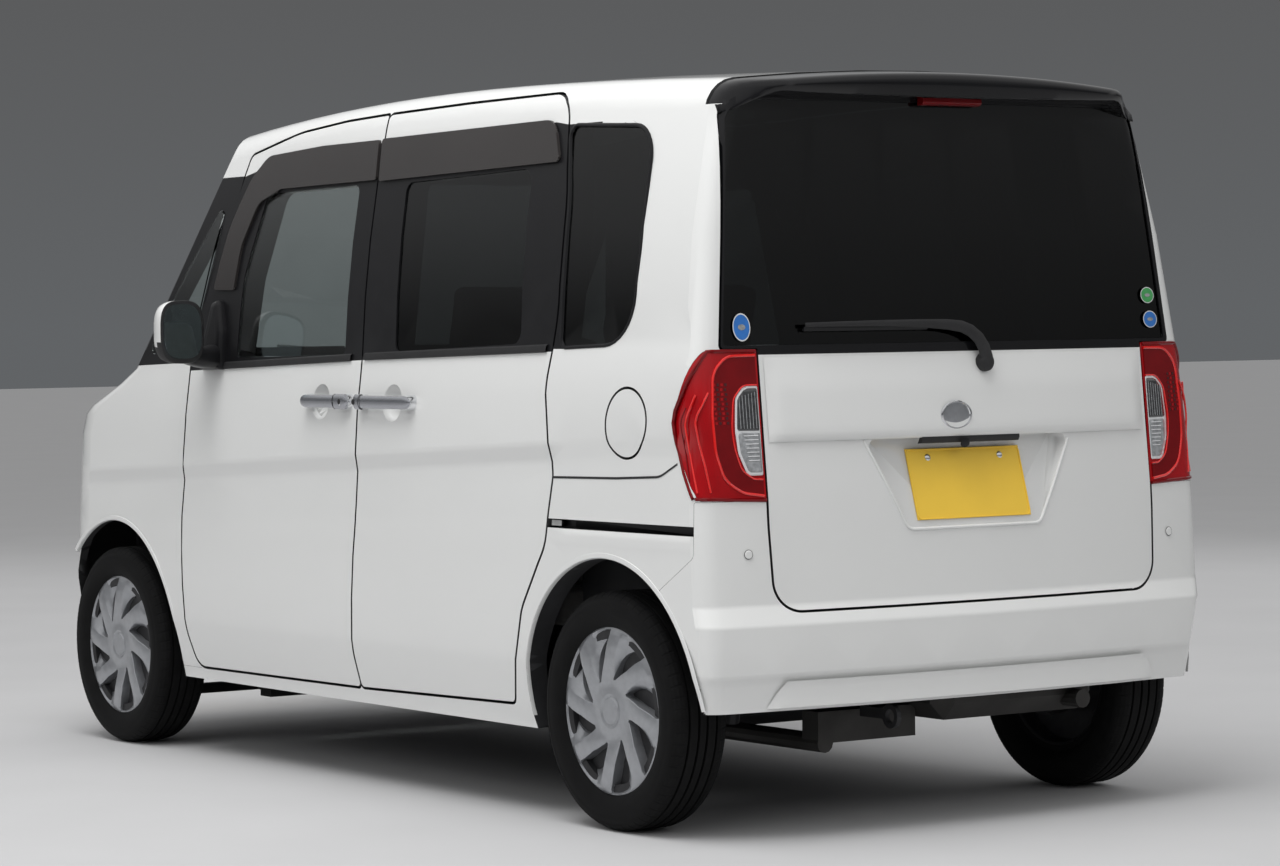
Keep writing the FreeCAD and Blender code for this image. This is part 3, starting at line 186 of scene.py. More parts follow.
FINISH = {
    "paint": finish("paint_white", (0.76, 0.765, 0.755), rough=0.32, vary=0.012, scale=1.5, rough_vary=0.03,
                    Coat_Weight=1.0, Coat_Roughness=0.04),
    "black_gloss": finish("black_gloss", (0.007, 0.007, 0.008), rough=0.12, vary=0.2, scale=4,
                          rough_vary=0.03, Coat_Weight=0.15, Specular_IOR_Level=0.35),
    "black_satin": finish("black_satin", (0.008, 0.008, 0.009), rough=0.36, vary=0.15, scale=25,
                          Specular_IOR_Level=0.32),
    # Black trim, also painted on the panels' edges and gap walls as painted shade in the gaps
    "black_trim": finish("black_trim", (0.018, 0.018, 0.019), rough=0.62, vary=0.2, scale=40, bump=0.25,
                         bump_scale=900),
    # Dark underbody coat, also painted in the wheel houses and on undersides, where it partly stands for
    # their shade
    "under": finish("underbody", (0.028, 0.028, 0.03), rough=0.75, vary=0.35, scale=9, bump=0.3,
                    bump_scale=250),
    "visor": finish("smoked_visor", (0.042, 0.038, 0.037), rough=0.16, vary=0.06, scale=3, rough_vary=0.03,
                    Transmission_Weight=0.25, IOR=1.45),
    "clear_glass": glass("clear_glass", (0.90, 0.96, 0.94)),
    "privacy": glass("privacy_glass", (0.060, 0.066, 0.066)),
    "rear_glass": glass("rear_glass", (0.018, 0.021, 0.021)),
    "lens": glass("lamp_lens", (0.92, 0.93, 0.95)),
    "red": lamp("lamp_red", (0.36, 0.003, 0.006), 0.12, 0.12, 12, 0.03, Coat_Weight=0.6,
                Coat_Roughness=0.02, Specular_IOR_Level=0.3),
    "red_deep": lamp("lamp_red_deep", (0.16, 0.001, 0.003), 0.18, 0.12, 20, 0.03, Coat_Weight=0.4,
                     Coat_Roughness=0.02, Specular_IOR_Level=0.25),
    "red_bright": lamp("lamp_red_bright", (0.74, 0.014, 0.012), 0.12, 0.06, 20, 0.03),
    "lamp_cell": lamp("lamp_cell", (0.06, 0.002, 0.003), 0.2, 0.2, 60),
    "lamp_white": lamp("lamp_white", (0.72, 0.73, 0.74), 0.22, 0.06, 60),
    "lamp_grey": lamp("lamp_grey", (0.30, 0.31, 0.32), 0.25, 0.25, 90),
    "lamp_dark": lamp("lamp_dark", (0.035, 0.036, 0.038), 0.22, 0.3, 90),
    "chrome": finish("chrome", (0.80, 0.81, 0.83), rough=0.10, metal=1.0, vary=0.03, scale=20,
                     rough_vary=0.04),
    "silver_gloss": finish("silver_gloss", (0.42, 0.43, 0.46), rough=0.18, metal=0.85, vary=0.04, scale=20,
                           rough_vary=0.04, Coat_Weight=0.7),
    "silver": finish("silver_paint", (0.37, 0.38, 0.40), rough=0.33, metal=0.72, vary=0.07, scale=60,
                     Coat_Weight=0.5),
    "steel": finish("dark_steel", (0.030, 0.030, 0.032), rough=0.55, metal=0.3, vary=0.3, bump=0.2,
                    bump_scale=300),
    "cast": finish("cast_metal", (0.035, 0.035, 0.037), rough=0.6, metal=0.6, vary=0.3, scale=18, bump=0.5,
                   bump_scale=350),
    "alloy": finish("alloy", (0.33, 0.33, 0.34), metal=0.8, vary=0.2, scale=12, bump=0.4, bump_scale=260),
    # Dark exhaust steel, darkened partly as painted shade under the bumper
    "pipe": finish("exhaust_steel", (0.05, 0.048, 0.046), rough=0.55, metal=0.7, vary=0.25, scale=10,
                   bump=0.15, bump_scale=200),
    "rubber": finish("tyre_rubber", (0.006, 0.006, 0.0062), rough=0.72, vary=0.25, scale=25, bump=0.25,
                     bump_scale=700, Specular_IOR_Level=0.16),
    "plate": finish("plate_yellow", (0.86, 0.56, 0.055), rough=0.42, vary=0.05, scale=6, rough_vary=0.05),
    "mirror_glass": finish("mirror_glass", (0.62, 0.72, 0.74), rough=0.03, metal=1.0, vary=0.02, scale=3,
                           rough_vary=0),
    "cabin": finish("cabin_plastic", (0.055, 0.055, 0.058), rough=0.7, vary=0.15, bump=0.35, bump_scale=700),
    "fabric": fabric("seat_fabric", (0.13, 0.125, 0.12)),
    "blue": finish("sticker_blue", (0.03, 0.16, 0.50), rough=0.35, scale=60),
    "green": finish("sticker_green", (0.06, 0.33, 0.10), rough=0.35, scale=60),
    "floor": finish("studio_floor", (0.47, 0.47, 0.475), rough=0.9, vary=0.02, scale=2),
}


# Lines and outlines in a plane

def arc(start, middle, end, steps):
    """Points on the arc through three 2-D points, with both ends."""
    (ax, ay), (bx, by), (cx, cy) = start, middle, end
    d = 2 * (ax * (by - cy) + bx * (cy - ay) + cx * (ay - by))
    parts = np.linspace(0, 1, steps + 1)
    if abs(d) < 1e-9:
        return [tuple(np.array(start) + (np.array(end) - np.array(start)) * t) for t in parts]
    a2, b2, c2 = ax**2 + ay**2, bx**2 + by**2, cx**2 + cy**2
    ux = (a2 * (by - cy) + b2 * (cy - ay) + c2 * (ay - by)) / d
    uy = (a2 * (cx - bx) + b2 * (ax - cx) + c2 * (bx - ax)) / d
    r = math.hypot(ax - ux, ay - uy)
    first, between, last = (math.atan2(y - uy, x - ux) for x, y in (start, middle, end))
    turn = (last - first) % (2 * math.pi)
    if (between - first) % (2 * math.pi) > turn:
        turn -= 2 * math.pi
    return [(ux + r * math.cos(first + turn * t), uy + r * math.sin(first + turn * t)) for t in parts]


def circle(a, b, r, steps, squash=1.0):
    """Points round a circle, or an ellipse when squash is given."""
    turns = np.linspace(0, 2 * math.pi, steps, endpoint=False)
    return [(a + r * math.cos(t), b + r * squash * math.sin(t)) for t in turns]


def oval(a, b, half_a, half_b, power, steps=40):
    """Points of a rounded rectangle."""
    points = []
    for c, s in circle(0, 0, 1, steps):
        points.append((a + half_a * math.copysign(abs(c) ** (2 / power), c),
                       b + half_b * math.copysign(abs(s) ** (2 / power), s)))
    return points


def dense(line, step):
    """A line with more points put in, about a step apart."""
    points = []
    for (a0, b0), (a1, b1) in zip(line, line[1:]):
        n = max(1, int(math.hypot(a1 - a0, b1 - b0) / step))
        points += [(a0 + (a1 - a0) * k / n, b0 + (b1 - b0) * k / n) for k in range(n)]
    return points + [line[-1]]


def outline(corners, steps=8):
    """Rounded polygon from (a, b, radius) corners."""
    points = []
    for i, (a, b, r) in enumerate(corners):
        p = np.array([a, b], float)
        back = np.array(corners[i - 1][:2], float) - p
        ahead = np.array(corners[(i + 1) % len(corners)][:2], float) - p
        back_size, ahead_size = np.linalg.norm(back), np.linalg.norm(ahead)
        back, ahead = back / back_size, ahead / ahead_size
        half = math.acos(max(-1, min(1, back @ ahead))) / 2
        if r <= 0 or half > math.radians(89.7):
            points.append(tuple(p))
            continue
        t = min(r / math.tan(half), 0.49 * back_size, 0.49 * ahead_size)
        r = t * math.tan(half)
        inward = (back + ahead) / np.linalg.norm(back + ahead)
        top = p + inward * (r / math.sin(half) - r)
        points += arc(tuple(p + back * t), tuple(top), tuple(p + ahead * t), steps)
    return points


def open_line(corners, steps=5):
    """Points of an open line with rounded corners."""
    (a0, b0, _), *middle, (a1, b1, _) = corners
    return outline([(a0, b0, 0), *middle, (a1, b1, 0)], steps)


def grow(points, by):
    """A closed polygon moved outward, or inward when by is negative."""
    p = np.array(points, float)
    p = p[np.linalg.norm(p - np.roll(p, 1, axis=0), axis=1) > 1e-4]
    ahead = np.roll(p, -1, axis=0)
    e = ahead - p
    area = 0.5 * np.sum(p[:, 0] * ahead[:, 1] - ahead[:, 0] * p[:, 1])
    n = np.stack([e[:, 1], -e[:, 0]], 1) * (1 if area > 0 else -1)
    n /= np.linalg.norm(n, axis=1, keepdims=True)
    m = n + np.roll(n, 1, axis=0)
    m /= np.linalg.norm(m, axis=1, keepdims=True)
    reach = np.clip((m * n).sum(1), 0.5, 1)
    return [tuple(q) for q in p + m * (by / reach)[:, None]]


def inside(point, loop):
    a, b = point
    hit = False
    for (a0, b0), (a1, b1) in zip(loop, loop[-1:] + loop[:-1]):
        if (b0 > b) != (b1 > b) and a < (a1 - a0) * (b - b0) / (b1 - b0) + a0:
            hit = not hit
    return hit


def fill(loop, step):
    """Points and triangles that fill a closed outline, with a grid of points inside."""
    points = dense(loop + loop[:1], step)[:-1]
    n = len(points)
    edges = [(i, (i + 1) % n) for i in range(n)]
    low, high = np.min(loop, axis=0), np.max(loop, axis=0)
    for a in np.arange(low[0] + step / 2, high[0], step):
        points += [(a, b) for b in np.arange(low[1] + step / 2, high[1], step) if inside((a, b), loop)]
    points, _, triangles, *_ = delaunay_2d_cdt([Vector(p) for p in points], edges, [], 0, 1e-4)
    middles = [sum((points[i] for i in t), Vector((0, 0))) / len(t) for t in triangles]
    return points, [t for t, middle in zip(triangles, middles) if inside(middle, loop)]


def at_height(rows, z, column=0):
    """One column of a table of rows, read at a height."""
    return float(np.interp(z, [row[1] for row in rows], [row[column] for row in rows]))


def along(line, x):
    return float(np.interp(x, *zip(*line)))


def ease(t):
    """A soft step from 0 to 1."""
    t = min(max(t, 0), 1)
    return t * t * (3 - 2 * t)


# The smooth outer form, as four grids of points with normals

def soften(points, spacing, sigma):
    """A dense, softened copy of a row of 2-D points."""
    p = np.array(points, float)
    run = np.concatenate([[0], np.cumsum(np.linalg.norm(np.diff(p, axis=0), axis=1))])
    keep = np.concatenate([[True], np.diff(run) > 1e-6])
    p, run = p[keep], run[keep]
    t = np.linspace(0, run[-1], max(int(run[-1] / spacing), 8))
    q = np.stack([np.interp(t, run, column) for column in p.T], 1)
    half = int(3 * sigma / spacing) + 1
    k = np.exp(-0.5 * (np.arange(-half, half + 1) * spacing / sigma) ** 2)
    k /= k.sum()
    pad = np.concatenate([2 * q[:1] - q[half:0:-1], q, 2 * q[-1:] - q[-2:-half - 2:-1]])
    return np.stack([np.convolve(column, k, "valid") for column in pad.T], 1)


def resample(points, n):
    """The same row with n points."""
    t = np.linspace(0, len(points) - 1, n)
    return [np.interp(t, np.arange(len(points)), column) for column in points.T]


def station(x, column):
    """A station's value at x, on a cubic through the four stations."""
    total = 0.0
    for here in STATIONS:
        weight = math.prod((x - o[0]) / (here[0] - o[0]) for o in STATIONS if o is not here)
        total += weight * here[column]
    return total


def unit(v):
    return v / np.linalg.norm(v)


def bowed(p, q, bulge, steps):
    """An arc from p to q whose middle stands out by bulge."""
    w = q - p
    return arc(tuple(p), tuple((p + q) / 2 + unit(np.array([w[1], -w[0]])) * bulge), tuple(q), steps)


def section(x):
    """Half section of the side at x, from sill to crown, as (y, z)."""
    extra, top = station(x, 1), station(x, 2)
    corners = [np.array([HALF_WIDTH - inset - extra, z + rise * x / 1000]) for inset, z, rise, _ in SECTION]
    points = [(corners[0][0] + 2, 120.0)]
    for p, q, row in zip(corners, corners[1:], SECTION[1:]):
        points += bowed(p, q, row[3], 12) if row[3] else [tuple(p), tuple(q)]
    inset, height, bulge, r, camber = RAIL
    belt = corners[-1]
    rail = np.array([HALF_WIDTH - inset - extra, height])
    u = unit(rail - belt)
    n = np.array([-u[1], u[0]])
    start = belt + n * r
    centre = np.array([0, top - camber])
    w = start - centre
    b = u @ w
    middle = start + u * (-b + math.sqrt(b * b - (w @ w - (camber - r) ** 2)))
    low = middle - n * r
    out = unit(middle - centre)
    high = middle + out * r
    points += bowed(belt, low, bulge, 16)
    points += arc(tuple(low), tuple(middle + unit(out - n) * r), tuple(high), 14)
    lean = math.atan2(high[0], high[1] - centre[1])
    points += [(camber * math.sin(a), centre[1] + camber * math.cos(a)) for a in np.linspace(lean, 0, 12)]
    return soften(points, 6.0, 7.0)


def side_y(x, z):
    """Half width of the side at a place along the car and a height."""
    extra = station(max(-1720.0, min(1720.0, x)), 1)
    rows = [(HALF_WIDTH - inset - extra, h + rise * x / 1000, bulge) for inset, h, rise, bulge in SECTION]
    rows.append((HALF_WIDTH - RAIL[0] - extra, RAIL[1], RAIL[2]))
    if z <= rows[0][1]:
        return rows[0][0]
    for (y0, z0, _), (y1, z1, bulge) in zip(rows, rows[1:]):
        t = (z - z0) / (z1 - z0)
        if z <= z1:
            return y0 + (y1 - y0) * t + 4 * bulge * t * (1 - t)
    return y1 + (y1 - y0) * (t - 1)


def half_plan(x, half, r, turn, x_far):
    """Half plan outline from the centre to the side, as (x, y)."""
    sign = 1 if x_far > x else -1
    cx = math.sqrt((turn - r) ** 2 - (half - r) ** 2)
    k = turn / (turn - r)
    centre = x + sign * turn
    touch = (centre - sign * cx * k, (half - r) * k)
    small = (centre - sign * cx, half - r)
    a = (math.pi / 2 + math.atan2(half - r, cx)) / 2
    middle = (small[0] - sign * r * math.cos(a), small[1] + r * math.sin(a))
    bow = arc((touch[0], -touch[1]), (x, 0), touch, 40)[20:]
    return bow + arc(touch, middle, (small[0], half), 16)[1:] + [(x_far, half)]


def plan_form(rows, turn, x_far, middle_z):
    """A form from plan outlines: height, place of the end and corner radius in each row."""
    lines = []
    for z, x, r in rows:
        points = half_plan(x, side_y(x, z) + PLAN_GAP, r, turn, x_far)
        row = resample(soften(points[:-1], 10.0, 8.0), PLAN_POINTS)
        lines.append(np.column_stack([*row, np.full(PLAN_POINTS, z)]))
    left = np.array(lines)
    right = left[:, ::-1] * np.array([1, -1, 1])
    return finish_form(np.concatenate([right[:, :-1], left], axis=1), middle_z)


def finish_form(grid, middle_z):
    """A grid with its normals, which face away from a point inside the car."""
    n = np.cross(np.gradient(grid, axis=0), np.gradient(grid, axis=1))
    n /= np.linalg.norm(n, axis=2, keepdims=True) + 1e-12
    sign = np.sign((n * (grid - np.array([0, 0, middle_z]))).sum(axis=2, keepdims=True))
    n *= np.where(sign == 0, 1, sign)
    index = np.arange(n.shape[0] * n.shape[1]).reshape(n.shape[:2])
    quads = np.stack([index[:-1, :-1], index[1:, :-1], index[1:, 1:], index[:-1, 1:]], -1).reshape(-1, 4)
    points = grid.reshape(-1, 3)
    tree = BVHTree.FromPolygons([tuple(p) for p in points], [tuple(q) for q in quads.tolist()])
    return {"tree": tree, "points": points, "normals": n.reshape(-1, 3), "quads": quads}


def side_form():
    left = np.array([np.column_stack([np.full(SIDE_POINTS, x), *resample(section(x), SIDE_POINTS)])
                     for x in np.arange(-1720, 1721, 20.0)])
    right = left[:, ::-1] * np.array([1, -1, 1])
    return finish_form(np.concatenate([left, right[:, 1:]], axis=1), 900.0)


def front_rows(rows, spacing, sigma):
    return [(z, FRONT_X - back, r) for back, z, r in soften(rows, spacing, sigma)]


FORMS = {
    "side": side_form(),
    "nose": plan_form(front_rows(NOSE_ROWS, 8.0, 12.0), NOSE_TURN, REAR_X, 300.0),
    "screen": plan_form(front_rows(SCREEN_ROWS, 12.0, 20.0), NOSE_TURN, REAR_X, 600.0),
    "tail": plan_form([(z, REAR_X + a, CORNER_R) for a, z in soften(TAIL_ROWS, 6.0, 6.0)], TAIL_TURN, FRONT_X,
                      900.0),
}


def form_normal(form, point):
    """The form's normal nearest to a point, and the distance to it."""
    at, _, i, gap = form["tree"].find_nearest(point)
    quad = form["quads"][i]
    weight = 1.0 / (np.linalg.norm(form["points"][quad] - np.array(at), axis=1) + 0.5)
    return unit((form["normals"][quad] * weight[:, None]).sum(0)), gap


# Slopes that sharpen the pressed lines of the panels: height, added lean
BAND_LEAN = [(772, 0.0), (790, -0.20), (815, -0.20), (833, 0.07), (905, 0.0)]
QUARTER_LEAN = [(610, 0.0), (645, -0.12), (662, 0.0), (678, 0.26), (681, 0.0)]
SHELF_LEAN = [(475, 0.0), (485, 0.30), (520, 0.30), (530, 0.0)]


def relief(form, point):
    """How much more a panel's normal leans up at a place on the form."""
    x, _, z = point
    if form == "tail":
        return along(SHELF_LEAN, z)
    if form != "side" or z > PRESSED_TOP:
        return 0.0
    return along(QUARTER_LEAN, z) if x < QUARTER_X else along(BAND_LEAN, z + 0.05 * x)


# Places on the form

def on_side(x, z, off, hand=1):
    return (x, hand * (side_y(x, z) + off), z)


def tail_at(y, z):
    """Where the tail's surface is at y and z."""
    return REAR_X + at_height(TAIL_ROWS, z) + (TAIL_TURN - math.sqrt(TAIL_TURN**2 - y * y))


def nose_at(y, z):
    return FRONT_X - at_height(NOSE_ROWS, z) - (NOSE_TURN - math.sqrt(NOSE_TURN**2 - y * y))


def on_tail(off):
    return lambda y, z: (tail_at(y, z) - off, y, z)


def on_nose(off):
    return lambda y, z: (nose_at(y, z) + off, y, z)


# Pieces

def add(name, mesh, body, finishes, replaces=()):
    """Put a piece on a body, with its finishes and the CAD nodes whose place it takes."""
    obj = bpy.data.objects.new(name, mesh)
    bpy.context.scene.collection.objects.link(obj)
    finishes = [finishes] if isinstance(finishes, str) else finishes
    for key in finishes:
        mesh.materials.append(FINISH[key])
    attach(obj, body)
    if replaces:
        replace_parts(obj, *replaces)
    return obj


def raw_mesh(name, points, faces, smooth=True):
    mesh = bpy.data.meshes.new(name)
    mesh.from_pydata([tuple(c * MM for c in p) for p in points], [], faces)
    mesh.validate()
    if smooth:
        mesh.shade_smooth()
    return mesh


def soft_mesh(bm, name):
    """A smooth mesh from an edit mesh, which is then let go."""
    mesh = bpy.data.meshes.new(name)
    bm.to_mesh(mesh)
    bm.free()
    mesh.shade_smooth()
    return mesh


def face_out(mesh, toward=None):
    """Turn a mesh's faces outward, and over again when they lie against a given direction."""
    bm = bmesh.new()
    bm.from_mesh(mesh)
    bmesh.ops.recalc_face_normals(bm, faces=bm.faces)
    total = sum((face.normal * face.calc_area() for face in bm.faces), Vector())
    if toward is not None and total.dot(toward) < 0:
        bmesh.ops.reverse_faces(bm, faces=bm.faces)
    bm.to_mesh(mesh)
    bm.free()


def joined(rows, size, round_rows=False, round_row=True):
    """Faces between neighbouring rows that hold size points each."""
    faces = []
    for i in range(rows if round_rows else rows - 1):
        here, there = i * size, (i + 1) % rows * size
        for j in range(size if round_row else size - 1):
            k = (j + 1) % size
            faces.append([here + j, here + k, there + k, there + j])
    return faces


def sweep(name, rings, body, material, closed=True, caps=True):
    """A skin through rows of points."""
    n = len(rings[0])
    faces = joined(len(rings), n, round_row=closed)
    if closed and caps:
        faces += [list(range(n)), [(len(rings) - 1) * n + j for j in reversed(range(n))]]
    mesh = raw_mesh(name, [p for ring in rings for p in ring], faces)
    face_out(mesh)
    mesh.set_sharp_from_angle(angle=math.radians(40))
    return add(name, mesh, body, material)


def tube(name, points, radii, body, material, sides=12, squash=1.0, up=(0, 0, 1)):
    """A round or flattened bar along a row of points."""
    points = [np.array(p, float) for p in points]
    radii = [radii] * len(points) if isinstance(radii, (int, float)) else radii
    rings = []
    for i, (p, r) in enumerate(zip(points, radii)):
        ahead = unit(points[min(i + 1, len(points) - 1)] - points[max(i - 1, 0)])
        across = unit(np.cross(ahead, np.array(up, float)))
        third = np.cross(across, ahead)
        rings.append([tuple(p + across * a + third * b) for a, b in circle(0, 0, r, sides, squash)])
    return sweep(name, rings, body, material)


def turned(name, at, rows, where, body, material, steps=24, squash=1.0):
    """A round piece on a surface, from rows of radius and height."""
    rings = [[where(*p, off) for p in circle(*at, r, steps, squash)] for r, off in rows]
    return sweep(name, rings, body, material)


def soft_box(name, low, high, r, body, material):
    """A box with rounded edges."""
    bm = bmesh.new()
    bmesh.ops.create_cube(bm, size=1.0)
    low, high = np.array(low, float), np.array(high, float)
    for vert in bm.verts:
        vert.co = Vector(((low + high) / 2 + (high - low) * np.array(vert.co)) * MM)
    bmesh.ops.bevel(bm, geom=bm.edges[:], offset=r * MM, segments=4, profile=0.5, affect="EDGES")
    mesh = soft_mesh(bm, name)
    mesh.set_sharp_from_angle(angle=math.radians(40))
    return add(name, mesh, body, material)


def patch(name, loop, where, body, material, step=40.0, thick=0.0):
    """A sheet from a flat outline laid on a surface, with an edge when thick is given."""
    points, triangles = fill(loop, step)
    used = sorted({i for t in triangles for i in t})
    index = {old: new for new, old in enumerate(used)}
    mesh = raw_mesh(name, [where(*points[i]) for i in used], [[index[i] for i in t] for t in triangles])
    middle = sum((vert.co for vert in mesh.vertices), Vector()) / len(mesh.vertices)
    face_out(mesh, middle - Vector((0, 0, 0.9)))
    obj = add(name, mesh, body, material)
    if thick:
        edge = obj.modifiers.new("edge", "SOLIDIFY")
        edge.thickness = thick * MM
        edge.offset = -1
    return obj


HANDS = ((1, "left"), (-1, "right"))


def both(make):
    for hand, word in HANDS:
        make(hand, word)


# Skins over the CAD panels

REACH = 16.0
FACING = math.cos(math.radians(38))


def cut_copy(node, cuts):
    """A copy of a CAD node's mesh, split along planes."""
    bm = bmesh.new()
    bm.from_mesh(NODES[node].data)
    bmesh.ops.remove_doubles(bm, verts=bm.verts, dist=2e-5)
    bmesh.ops.dissolve_degenerate(bm, edges=bm.edges, dist=1e-6)
    for at, normal in cuts:
        geom = bm.verts[:] + bm.edges[:] + bm.faces[:]
        bmesh.ops.bisect_plane(bm, geom=geom, dist=1e-5, plane_co=Vector(at) * MM, plane_no=Vector(normal))
    mesh = soft_mesh(bm, node + "_skin")
    mesh.set_sharp_from_angle(angle=math.radians(35))
    return mesh


def form_under(face, forms):
    """The form that a face lies on, with its facing sign, and the distance to the nearest form."""
    best, near = None, math.inf
    for name in forms:
        normal, gap = form_normal(FORMS[name], face.center * 1000)
        near = min(near, gap)
        facing = float(normal @ np.array(face.normal))
        score = gap / 8 + (1 - abs(facing)) * 5
        if gap <= REACH and abs(facing) >= FACING and (best is None or score < best[0]):
            best = (score, name, 1 if facing > 0 else -1)
    return best, near


def skin(node, material, forms=("side", "nose", "tail"), cuts=(), zone=None, more=(), edge=None, depth=60.0):
    """A copy of a CAD node whose outer faces take their normals from the smooth form.

    A zone gives a face one of more finishes, and faces across the skin, the panels' edges and the walls of
    their gaps, take the edge finish, whose dark colour is painted shade in the gaps.
    """
    mesh = cut_copy(node, cuts)
    normals = np.array([corner.vector for corner in mesh.corner_normals])
    across = set()
    for face in mesh.polygons:
        best, near = form_under(face, forms)
        if best is None and near < depth:
            across.add(face.index)
        for corner in face.loop_indices if best else ():
            at = mesh.vertices[mesh.loops[corner].vertex_index].co * 1000
            normal = form_normal(FORMS[best[1]], at)[0]
            normal[2] += relief(best[1], at)
            normals[corner] = unit(normal) * best[2]
    mesh.normals_split_custom_set([tuple(normal) for normal in normals])
    for face in mesh.polygons:
        if more:
            face.material_index = zone(*(face.center * 1000), face.normal)
        # Faces across the skin near the form are painted dark: painted shade in the panel gaps, where the
        # real edges are body colour
        if edge and face.index in across and face.material_index == 0:
            face.material_index = len(more) + 1
    finishes = [material, *more, edge] if edge else [material, *more]
    return add(node + "_skin", mesh, BODY_OF[node], finishes, (node,))


QUARTER_WINDOW = outline([(-1052, 1096, 20), (-1334, 1104, 110), (-1337, 1330, 700), (-1318, 1590, 90),
                          (-972, 1608, 20), (-1027, 1425, 500), (-1044, 1236, 400)])
QUARTER_RIM = grow(QUARTER_WINDOW, 4.0)

# The black band under and over the windows, as (x, z)
BELT_LOW = [(-1060, 1086), (-1020, 1085), (-154, 1065), (598, 1041), (800, 1035)]
FRONT_TOP = [(-170, 1608), (185, 1606), (470, 1592), (535, 1562), (600, 1550), (720, 1550)]
SLIDE_TOP = [(-1060, 1606), (-960, 1612), (-905, 1620), (-100, 1611)]
PILLAR_BAND = (1046, 1552)
WINDOW_BAND = (1091, 1612)
BAND_FRONT_X = 560
BAND_REAR_X = -1100
GATE_BELT = 1075
SCREEN_BAND = (1092, 1545)
SCREEN_SIDE = (525, 1583)
SCREEN_SLANT = (92, 533)
HANDLE_Z = 962.0
# The cups behind the door handles: places along the car, radius and depth
CUPS = (40.0, -318.0)
CUP_R = 52
CUP_DEPTH = 34
# The sliding door's rail: from and to along the car and in height, and the half width of its floor
SLOT_X = (-1598, -1000)
SLOT_Z = (680, 703)
SLOT_Y = 722
# Half widths inside which wheel houses and sills take the dark underbody finish, partly as painted shade, and
# the height where the sill ends
HOUSE_Y = 716
SILL_Y = 690
SILL_Z = 366
# The recess of the rear plate: half width, from and to in height, and depth
RECESS_Y = 330
RECESS_Z = (655, 900)
RECESS_DEPTH = 60
# How deep inside a skin its inner side begins, on doors, body, bumper and tailgate
INNER = {"door": 14, "body": 20, "bumper": 25, "gate": 12}


def line_cuts(line):
    """Planes across the car through each stretch of a line on its side."""
    return [((x0, 0, z0), Vector((z1 - z0, 0, x0 - x1)).normalized())
            for (x0, z0), (x1, z1) in zip(line, line[1:])]


def level(z, rise=0.0):
    """A level plane, or one that climbs by rise mm in each metre along the car."""
    return ((0, 0, z), Vector((-rise / 1000, 0, 1)).normalized())


SIDE_CREASES = [level(z + d, rise) for z, rise in ((366, 0), (781, -50), (824, -50)) for d in (-9, 9)]
QUARTER_CREASES = [level(z) for z in (678, 662, 645, 610)]
TAIL_CREASES = [level(z + d) for z in (298, 352, 368, 480, 525) for d in (-5, 5)]


def door_zone(top):
    """Black round the windows, paint in the handle's cup, and trim on the cabin side."""
    def zone(x, y, z, normal):
        depth = side_y(x, z) - abs(y)
        if depth < CUP_DEPTH and any(math.hypot(x - cup, z - HANDLE_Z) < CUP_R for cup in CUPS):
            return 3
        if along(BELT_LOW, x) < z < along(top, x):
            return 1
        return 2 if depth > INNER["door"] and normal.y * y < 0 else 0
    return zone


def in_arch(x, z, place):
    return math.hypot(x - AXLE_X[place], z - TYRE_R) < ARCH_R


def body_zone(x, y, z, normal):
    """Black pillars, window frames and rail slots, and wheel houses and undersides in the dark underbody
    finish, partly as their painted shade.
    """
    wide = abs(y)
    low, high = PILLAR_BAND if x > BAND_FRONT_X else WINDOW_BAND
    if x > BAND_REAR_X and low < z < high:
        return 1
    in_slot = SLOT_Z[0] < z < SLOT_Z[1] and SLOT_X[0] < x < SLOT_X[1] and wide < SLOT_Y
    if in_slot or inside((x, z), QUARTER_RIM):
        return 1
    # The wheel houses and sills take the dark underbody finish: a dark coat, partly painted shade in these
    # recesses
    dark = wide < HOUSE_Y or z < SILL_Z and wide < SILL_Y
    if dark and (in_arch(x, z, "front") or in_arch(x, z, "rear")):
        return 2
    # Inner faces that look down take it too, partly as painted shade under the panels
    return 2 if wide < side_y(x, z) - INNER["body"] and normal.z < -0.5 else 0


def screen_zone(x, y, z, normal):
    """The black border of the windscreen."""
    side = SCREEN_SIDE[0] + (SCREEN_SIDE[1] - z) * SCREEN_SLANT[0] / SCREEN_SLANT[1]
    return 0 if SCREEN_BAND[0] <= z <= SCREEN_BAND[1] and abs(y) <= side else 1


def bumper_zone(x, y, z, normal):
    """The dark underbody finish inside the bumper, under its edge and in the wheel house, partly as painted
    shade there.
    """
    wide = abs(y)
    if in_arch(x, z, "rear") and wide < HOUSE_Y or normal.x > 0.3 and x > tail_at(y, z) + INNER["bumper"]:
        return 2
    return 2 if normal.y * y < 0 and abs(normal.y) > 0.5 and wide < side_y(x, z) - INNER["door"] else 0


def gate_zone(x, y, z, normal):
    """Black round the rear glass, paint in the plate's recess, and trim inside."""
    deep = x - tail_at(y, z)
    if z > GATE_BELT:
        return 1
    if abs(y) < RECESS_Y and RECESS_Z[0] < z < RECESS_Z[1] and deep < RECESS_DEPTH:
        return 3
    return 2 if normal.x > 0.4 and deep > INNER["gate"] else 0


